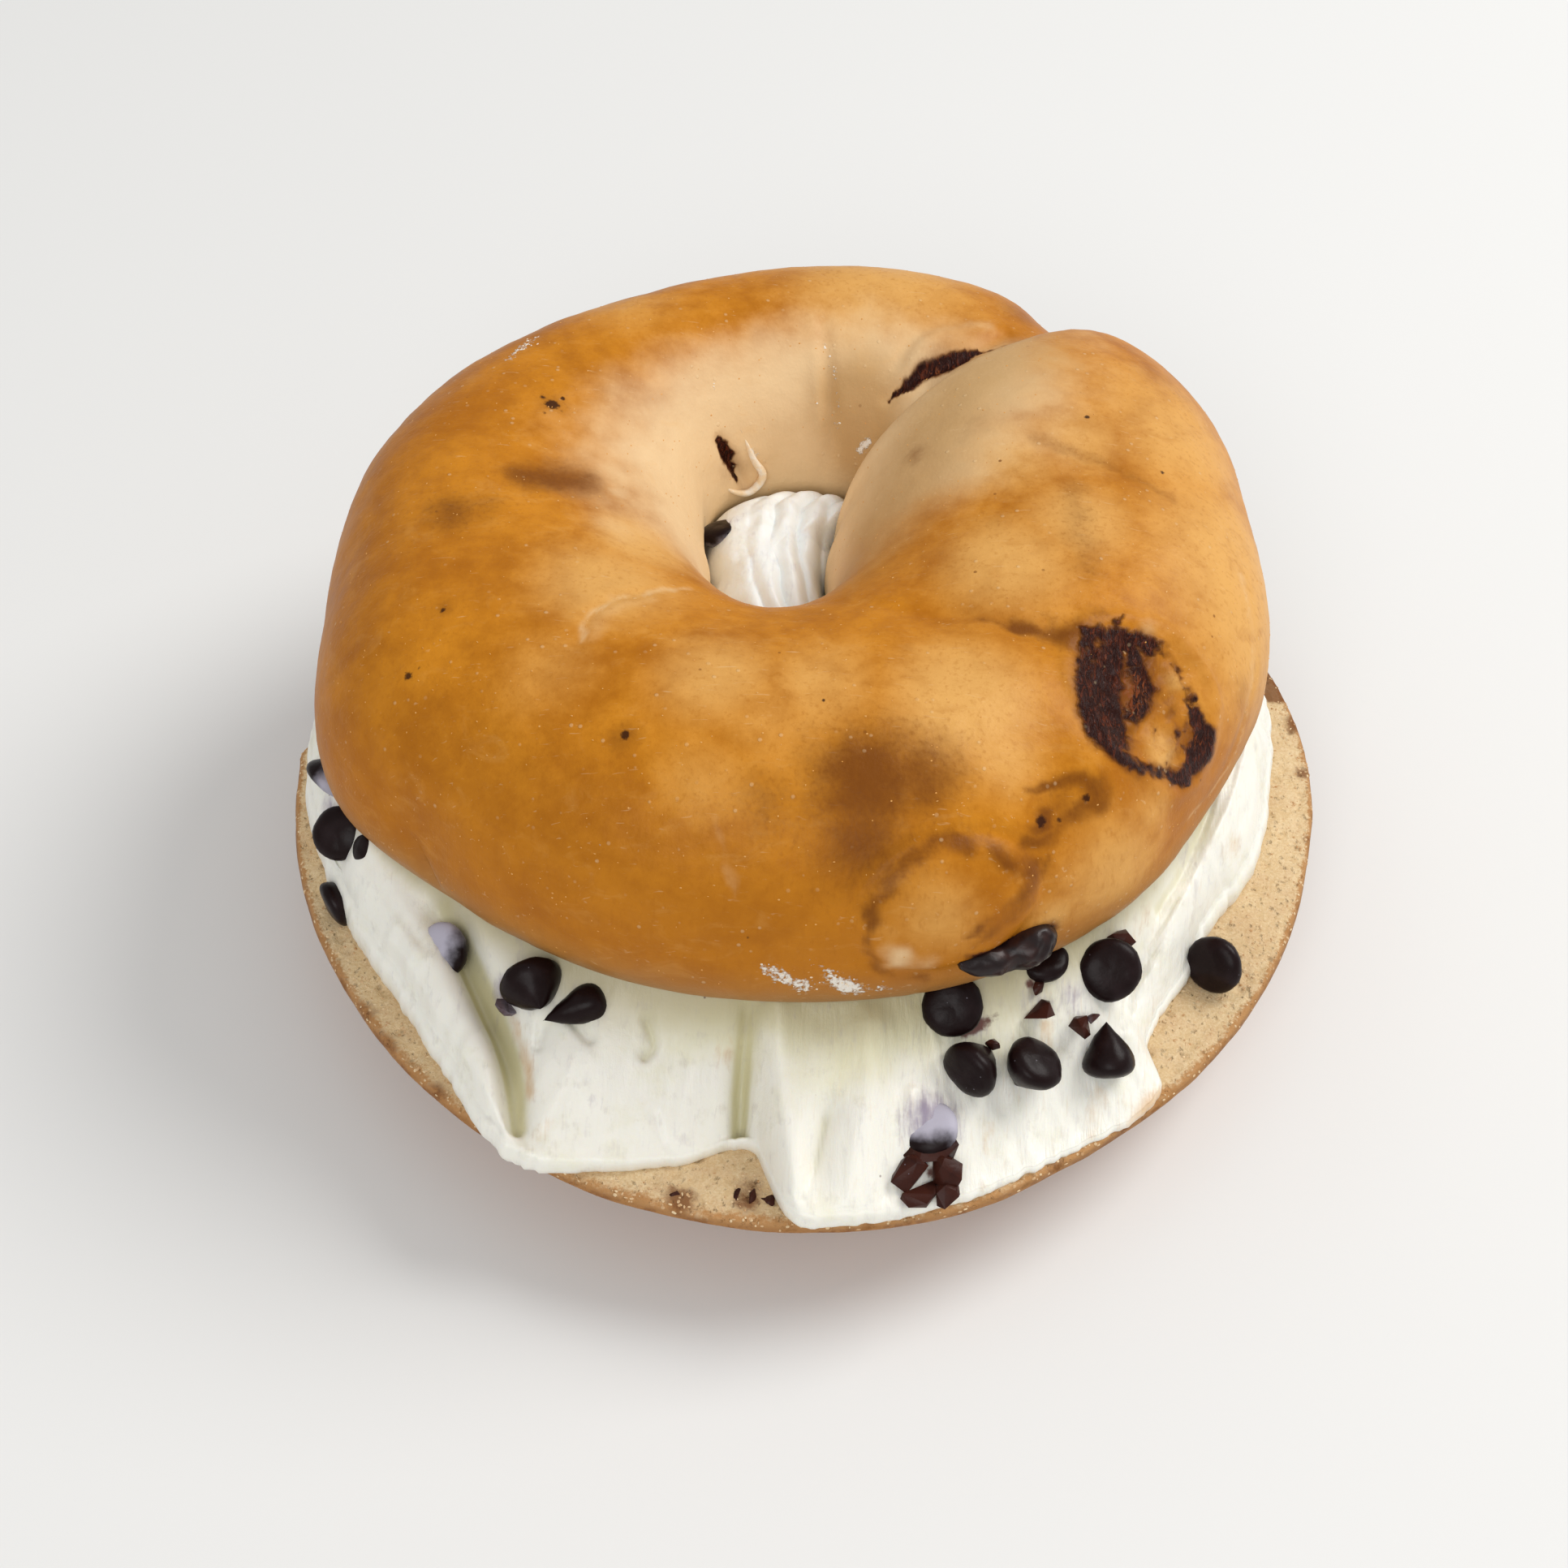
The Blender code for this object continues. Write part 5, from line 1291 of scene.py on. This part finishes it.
def chip_recipe():
    """Sets a chip on each point, aimed along the point's own direction, and makes each a little uneven."""
    recipe = Recipe("placed_chips", Chip="object", Unevenness="float", Chocolate="material")
    add = recipe.add
    points = add("GeometryNodeMeshToPoints", None, {"Mesh": recipe.given("Geometry")})
    chip = add("GeometryNodeObjectInfo", None, {"Object": recipe.given("Chip")}, "Geometry")
    aim = add("FunctionNodeAlignRotationToVector", {"axis": "Z"},
              {"Vector": recipe.carried("aim", "FLOAT_VECTOR")})
    placed = add("GeometryNodeInstanceOnPoints", None, {
        "Points": points, "Instance": chip, "Rotation": aim,
        "Scale": recipe.carried("size", "FLOAT_VECTOR")})
    real = add("GeometryNodeRealizeInstances", None, {0: placed})
    here = add("GeometryNodeInputPosition")
    lumps = add("ShaderNodeTexNoise", None, {"Vector": here, "Scale": 1 / (2.4 * MM), "Detail": 2.0})
    uneven = (lumps - 0.5) * recipe.given("Unevenness")
    recipe.close(recipe.raised(real, uneven), recipe.given("Chocolate"))
    return recipe


def chocolate_chips(look):
    """All the whole chips, as one piece."""
    base = chip_base(look)
    cloud = point_cloud("chip_places", [chip[0] for chip in CHIPS.values()], {
        "aim": [chip[1] for chip in CHIPS.values()],
        "size": [(width, width, length) for _, _, (width, length), _ in CHIPS.values()],
        "film": [chip[3] for chip in CHIPS.values()], "centre": [chip[0] for chip in CHIPS.values()],
        "drape": [DRAPES.get(name, (0.0, 0.0, 0.0)) for name in CHIPS]})
    chocolate = chocolate_finish(look, "dark_chocolate", look.dark, look.bloom)
    piece = chip_recipe().run("chocolate_chips", cloud, Chip=base, Unevenness=0.5 * MM, Chocolate=chocolate)
    discard(base)
    discard(cloud)
    dress(piece, chocolate, "chocolate", *CHIPS)


def chocolate_finish(look, name, clean, dulled, specular=0.13):
    """Satin chocolate with a faint bloom, dust specks and a film of cream where it clings."""
    skin = Finish(name)
    wave = skin.noise(2.5, 3.0, 0.5)
    mottle = skin.noise(0.8, 4.0, 0.6, shift=3.0)
    centre = skin.add("ShaderNodeAttribute", {"attribute_name": "centre"}, output="Vector")
    drape = skin.add("ShaderNodeAttribute", {"attribute_name": "drape"}, output="Vector")
    thicker = skin.add("ShaderNodeVectorMath", {"operation": "DOT_PRODUCT"},
                       {0: skin.vector("SUBTRACT", skin.place, centre), 1: drape}, "Value")
    film = skin.attribute("film") * 1.5 + thicker + (wave - 0.5) * 0.8 + (mottle - 0.5) * 0.25
    film = film.step(0.45, 1.15)
    speck = skin.cells(1.0, shift=1.0).step(0.085, 0.05) * skin.noise(3.0, 1.0, shift=5.0).step(0.50, 0.60)
    color = skin.mix(wave.step(0.45, 0.80) * 0.8, clean, dulled)
    color = skin.coats(
        color,
        (speck * 0.30, look.coat),
        (film * 0.95, look.coat),
    )
    roughness = 0.26 + mottle * 0.16 + film * 0.10
    relief = skin.bump(mottle * 0.5 + film * 0.6, 0.08)
    return skin.finish(color, roughness, relief, Specular_IOR_Level=specular)


def broken_chocolate(look):
    """Sharp-edged bits: a hull round a few random corners for each."""
    draw = np.random.default_rng(SHARD_SEED)
    shell = bmesh.new()
    film = shell.verts.layers.float.new("film")
    for place, half_sizes, turn, cling in SHARDS:
        corners = draw.normal(size=(SHARD_CORNERS, 3))
        corners /= np.linalg.norm(corners, axis=1, keepdims=True)
        corners = corners * np.array(half_sizes) @ np.array(Matrix.Rotation(math.radians(turn), 3, "Z")).T
        verts = [shell.verts.new(corner) for corner in ((corners + place) * MM).tolist()]
        hull = bmesh.ops.convex_hull(shell, input=verts)
        loose = {item for item in hull["geom_interior"] + hull["geom_unused"]
                 if isinstance(item, bmesh.types.BMVert)}
        bmesh.ops.delete(shell, geom=list(loose), context="VERTS")
        for vert in verts:
            if vert.is_valid:
                vert[film] = cling
    bmesh.ops.recalc_face_normals(shell, faces=shell.faces[:])
    mesh = bpy.data.meshes.new("broken_chocolate")
    shell.to_mesh(mesh)
    shell.free()
    piece = link("broken_chocolate", mesh)
    bevel = piece.modifiers.new("worn_edges", "BEVEL")
    bevel.width = SHARD_BEVEL * MM
    bevel.segments = 3
    bevel.limit_method = "NONE"
    mesh.shade_smooth()
    chocolate = chocolate_finish(look, "broken_chocolate", look.broken, look.dark)
    dress(piece, chocolate, "chocolate", "chunk_front")


def crust_lump(look):
    """The lump baked into the crust: round at the right, running out to a point at the left."""
    stops = curve([place for place, _ in CRUST_LUMP], LUMP_STEPS)
    widths = curve([(width,) for _, width in CRUST_LUMP], LUMP_STEPS)[:, 0]
    turns = np.linspace(-math.pi, math.pi, LUMP_AROUND, endpoint=False)
    outward, upward = np.array((0.46, -0.86, 0.20)), np.array((-0.10, 0.18, 0.98))
    grid = np.cos(turns)[None, :, None] * outward + np.sin(turns)[None, :, None] * upward
    grid = stops[:, None, :] + grid * widths[:, None, None]
    grid = grid + (0.20 * rough(grid, 1.8, 2) * widths[:, None])[..., None] * outward
    points, faces = lattice(grid, closed=False)
    piece = make_mesh("baked_in_chocolate", points, faces, {"film": np.zeros(len(points))})
    chocolate = chocolate_finish(look, "melted_chocolate", look.dark, look.broken, specular=0.30)
    dress(piece, chocolate, "chocolate", "chunk_crust")


# ---------------------------------------------------------------- small things

# Strands of torn dough and cream: path, thickest half-width.
STRANDS = (
    (((-8.3, 28.6, 37), (-7.2, 28.3, 34.2), (-6.2, 28.2, 32.4), (-6.6, 27.9, 31), (-7.8, 27.3, 30.2),
      (-9.4, 26.6, 30.9), (-10.3, 26.2, 32)), 0.48),
    (((-11.8, 26.1, 33.2), (-11.2, 26.2, 32.2), (-10.5, 26.2, 31.4)), 0.60),
)


def strand_recipe():
    """Sweeps a round section along a path, thin at both ends."""
    recipe = Recipe("torn_strand", Half_width="float", Stuff="material")
    add = recipe.add
    path = add("GeometryNodeMeshToCurve", None, {"Mesh": recipe.given("Geometry")})
    path = add("GeometryNodeCurveSplineType", {"spline_type": "CATMULL_ROM"}, {"Curve": path})
    path = add("GeometryNodeResampleCurve", None, {"Curve": path, "Count": 40})
    share = add("GeometryNodeSplineParameter")
    taper = recipe.math("POWER", recipe.math("SINE", share * math.pi), 0.6).most(0.08)
    section = add("GeometryNodeCurvePrimitiveCircle", {"mode": "RADIUS"}, {"Resolution": 10, "Radius": 1.0})
    thin = add("GeometryNodeCurveToMesh", None, {"Curve": path, "Profile Curve": section, "Fill Caps": True,
                                                 "Scale": taper * recipe.given("Half_width")})
    recipe.close(add("GeometryNodeSetShadeSmooth", None, {"Geometry": thin}), recipe.given("Stuff"))
    return recipe


def torn_strands(look):
    """Thin torn edges of dough by the slit."""
    recipe = strand_recipe()
    stuff = plain_finish("torn_dough", look.pale, look.flour, 0.55)
    for number, (path, half_width) in enumerate(STRANDS, 1):
        mesh = bpy.data.meshes.new("strand_path")
        runs = [(step, step + 1) for step in range(len(path) - 1)]
        mesh.from_pydata((np.array(path) * MM).tolist(), runs, [])
        line = link("strand_path", mesh)
        piece = recipe.run(f"torn_edge_{number}", line, Half_width=half_width * MM, Stuff=stuff)
        turn_out(piece.data)
        discard(line)
        dress(piece, stuff, "crust_top")


def plain_finish(name, light, dark, roughness):
    """Two close shades, mottled."""
    stuff = Finish(name)
    mottle = stuff.noise(0.9, 4.0, 0.6)
    color = stuff.mix(mottle.step(0.30, 0.80), light, dark)
    return stuff.finish(color, roughness + mottle * 0.2, stuff.bump(mottle, 0.06))


def grain_recipe():
    """Strews flattened grains over a surface, as thickly as the surface's own cover value says."""
    recipe = Recipe("strewn_grains", Density="float", Size="float", Seed="int", Stuff="material")
    add = recipe.add
    cover = recipe.carried("cover")
    node = recipe.tree.nodes.new("GeometryNodeDistributePointsOnFaces")
    for label, value in (("Mesh", "Geometry"), ("Seed", "Seed")):
        recipe.tree.links.new(recipe.given(value).socket, node.inputs[label])
    recipe.tree.links.new((cover * recipe.given("Density")).socket, node.inputs["Density"])
    points, turn = Value(recipe, node.outputs["Points"]), Value(recipe, node.outputs["Rotation"])
    grain = add("GeometryNodeMeshIcoSphere", None, {"Radius": recipe.given("Size"), "Subdivisions": 1})
    sizes = add("FunctionNodeRandomValue", {"data_type": "FLOAT_VECTOR"},
                {0: (0.35, 0.35, 0.25), 1: (1.3, 1.0, 0.6), "Seed": 5})
    strewn = add("GeometryNodeInstanceOnPoints", None,
                 {"Points": points, "Instance": grain, "Rotation": turn, "Scale": sizes})
    recipe.close(strewn, recipe.given("Stuff"))
    return recipe


def strew(recipe, name, host, cover, density, size, seed, stuff, slot):
    """Grains on a host piece where cover, a function of its points and their values, says."""
    mesh = host.data
    points = np.empty(len(mesh.vertices) * 3, np.float32)
    mesh.vertices.foreach_get("co", points)
    base = link(name + "_base", mesh.copy())
    layer = base.data.attributes.new("cover", "FLOAT", "POINT")
    layer.data.foreach_set("value", cover(mesh, points.reshape(-1, 3) / MM).astype(np.float32))
    piece = recipe.run(name, base, Density=density, Size=size * MM, Seed=seed, Stuff=stuff)
    discard(base)
    dress(piece, stuff, slot)


def stored(mesh, label):
    values = np.empty(len(mesh.vertices), np.float32)
    mesh.attributes[label].data.foreach_get("value", values)
    return values


def crumb_cover(mesh, points):
    """Loose crumbs: on the open cut face, most of them near its rim."""
    open_face = np.hypot(points[:, 0], points[:, 1]) > 46.0
    return stored(mesh, "cut") * open_face * (0.35 + 0.65 * smooth(3.5, 0.5, stored(mesh, "rim")))


def flour_cover(mesh, points):
    return np.clip(stored(mesh, "flour") - 0.25, 0.0, 1.0)


def blister_cover(mesh, points):
    """Fine raised dots: all over the skin, fewer on dark marks."""
    return (1 - stored(mesh, "char")) * smooth(CUT_HEIGHT + 1, CUT_HEIGHT + 4, points[:, 2])


# ---------------------------------------------------------------- stage

CAMERA_PLACE = (-2.295, -178.38, 213.60)
CAMERA_DOWN = 48.5                  # degrees below level
CAMERA_ROLL = 2.47
FOCAL_PIXELS, FRAME_PIXELS = 3000.0, 1932.0
SENSOR_WIDTH = 36.0
FLOOR_HALF = 3.0                    # in metres


def area_light(name, place, aim, size, power, color):
    lamp = bpy.data.lights.new(name, "AREA")
    lamp.shape = "DISK"
    lamp.size = size
    lamp.energy = power
    lamp.color = color
    holder = link(name, lamp)
    holder.location = place
    holder.rotation_euler = (Vector(aim) - Vector(place)).to_track_quat("-Z", "Y").to_euler()


def stage(look):
    """Floor, even sky, two large lights and the camera."""
    side = FLOOR_HALF
    corners = [(-side, -side, 0.0), (side, -side, 0.0), (side, side, 0.0), (-side, side, 0.0)]
    mesh = bpy.data.meshes.new("floor")
    mesh.from_pydata(corners, [], [(0, 1, 2, 3)])
    floor = link("floor", mesh)
    paint = Finish("pale_floor")
    cloud = paint.noise(60.0, 2.0)
    color = paint.mix(cloud * 0.06, look.floor, (0.77, 0.77, 0.76))
    mesh.materials.append(paint.finish(color, 0.6, Specular_IOR_Level=0.2))

    world = bpy.data.worlds.new("soft_white")
    world.use_nodes = True
    sky = world.node_tree.nodes["Background"]
    sky.inputs["Color"].default_value = (1.0, 1.0, 1.0, 1.0)
    sky.inputs["Strength"].default_value = look.sky
    bpy.context.scene.world = world
    area_light("main_light", (0.62, 0.28, 0.75), (0.0, 0.0, 0.03), 0.55, look.key, (1.0, 0.985, 0.96))
    area_light("front_light", (-0.15, -0.75, 0.70), (0.0, 0.0, 0.03), 0.60, look.fill, (1.0, 1.0, 1.0))

    lens = bpy.data.cameras.new("camera")
    lens.sensor_width = SENSOR_WIDTH
    lens.lens = SENSOR_WIDTH * FOCAL_PIXELS / FRAME_PIXELS
    lens.clip_start = 0.01
    camera = link("camera", lens)
    aim = Matrix.Rotation(math.radians(90 - CAMERA_DOWN), 4, "X")
    camera.matrix_world = (Matrix.Translation(Vector(CAMERA_PLACE) * MM) @ aim
                           @ Matrix.Rotation(math.radians(CAMERA_ROLL), 4, "Z"))
    bpy.context.scene.camera = camera
    bpy.context.scene.view_settings.view_transform = "Standard"


# ---------------------------------------------------------------- add-on

class BagelSettings(bpy.types.PropertyGroup):
    """All the looks of the bagel and its stage."""
    crust: PointerProperty(type=CrustLook)
    crumb: PointerProperty(type=CrumbLook)
    cream: PointerProperty(type=CreamLook)
    chocolate: PointerProperty(type=ChocolateLook)
    stage: PointerProperty(type=StageLook)


class BAGEL_OT_top(bpy.types.Operator):
    """Makes the upper half with its crust"""
    bl_idname = "bagel.top"
    bl_label = "Top half"

    def execute(self, context):
        bagel_top(context.scene.bagel.crust)
        return {"FINISHED"}


class BAGEL_OT_bottom(bpy.types.Operator):
    """Makes the lower half with its crumb face"""
    bl_idname = "bagel.bottom"
    bl_label = "Bottom half"

    def execute(self, context):
        bagel_bottom(context.scene.bagel.crust, context.scene.bagel.crumb)
        return {"FINISHED"}


class BAGEL_OT_cream(bpy.types.Operator):
    """Spreads the cream cheese"""
    bl_idname = "bagel.cream"
    bl_label = "Cream cheese"

    def execute(self, context):
        cream_cheese(context.scene.bagel.cream)
        return {"FINISHED"}


class BAGEL_OT_chips(bpy.types.Operator):
    """Sets the whole chocolate chips"""
    bl_idname = "bagel.chips"
    bl_label = "Chocolate chips"

    def execute(self, context):
        chocolate_chips(context.scene.bagel.chocolate)
        return {"FINISHED"}


class BAGEL_OT_broken(bpy.types.Operator):
    """Adds the broken bits and the lump baked into the crust"""
    bl_idname = "bagel.broken"
    bl_label = "Broken chocolate"

    def execute(self, context):
        broken_chocolate(context.scene.bagel.chocolate)
        crust_lump(context.scene.bagel.chocolate)
        return {"FINISHED"}


class BAGEL_OT_torn(bpy.types.Operator):
    """Adds the torn edges of dough"""
    bl_idname = "bagel.torn"
    bl_label = "Torn dough"

    def execute(self, context):
        torn_strands(context.scene.bagel.crust)
        return {"FINISHED"}


class BAGEL_OT_grains(bpy.types.Operator):
    """Strews flour, fine blisters and loose crumbs"""
    bl_idname = "bagel.grains"
    bl_label = "Flour and crumbs"

    def execute(self, context):
        look = context.scene.bagel
        recipe = grain_recipe()
        top, bottom = bpy.data.objects["bagel_top_crust"], bpy.data.objects["bagel_bottom_bread"]
        flour = plain_finish("flour_grains", look.crust.flour, look.crust.pale, 0.7)
        strew(recipe, "flour_dust", top, flour_cover, 6.0e6, 0.16, 3, flour, "crust_top")
        dots = plain_finish("skin_dots", look.crust.honey, look.crust.golden, 0.4)
        strew(recipe, "skin_blisters", top, blister_cover, 0.9e5, 0.11, 8, dots, "crust_top")
        crumbs = plain_finish("loose_crumbs", look.crumb.light, look.crumb.toast, 0.8)
        strew(recipe, "loose_crumbs", bottom, crumb_cover, 1.4e6, 0.20, 4, crumbs, "crust_bottom")
        return {"FINISHED"}


class BAGEL_OT_stage(bpy.types.Operator):
    """Sets the floor, the lights and the camera"""
    bl_idname = "bagel.stage"
    bl_label = "Stage"

    def execute(self, context):
        stage(context.scene.bagel.stage)
        return {"FINISHED"}


OPERATORS = (BAGEL_OT_top, BAGEL_OT_bottom, BAGEL_OT_cream, BAGEL_OT_chips, BAGEL_OT_broken, BAGEL_OT_torn,
             BAGEL_OT_grains, BAGEL_OT_stage)


class BAGEL_PT_panel(bpy.types.Panel):
    """Lists the pieces and their looks"""
    bl_idname = "BAGEL_PT_panel"
    bl_label = "Bagel"
    bl_space_type = "VIEW_3D"
    bl_region_type = "UI"
    bl_category = "Bagel"

    def draw(self, context):
        for operator in OPERATORS:
            self.layout.operator(operator.bl_idname)
        for group in ("crust", "crumb", "cream", "chocolate", "stage"):
            box = self.layout.box()
            box.label(text=group.capitalize())
            settings = getattr(context.scene.bagel, group)
            for label in settings.__annotations__:
                box.prop(settings, label)


CLASSES = (CrustLook, CrumbLook, CreamLook, ChocolateLook, StageLook, BagelSettings, *OPERATORS,
           BAGEL_PT_panel)


def register():
    for item in CLASSES:
        bpy.utils.register_class(item)
    bpy.types.Scene.bagel = PointerProperty(type=BagelSettings)


def unregister():
    del bpy.types.Scene.bagel
    for item in reversed(CLASSES):
        bpy.utils.unregister_class(item)


def main():
    register()
    bpy.ops.bagel.top()
    bpy.ops.bagel.bottom()
    bpy.ops.bagel.cream()
    bpy.ops.bagel.chips()
    bpy.ops.bagel.broken()
    bpy.ops.bagel.torn()
    bpy.ops.bagel.grains()
    bpy.ops.bagel.stage()


if __name__ == "__main__":
    main()
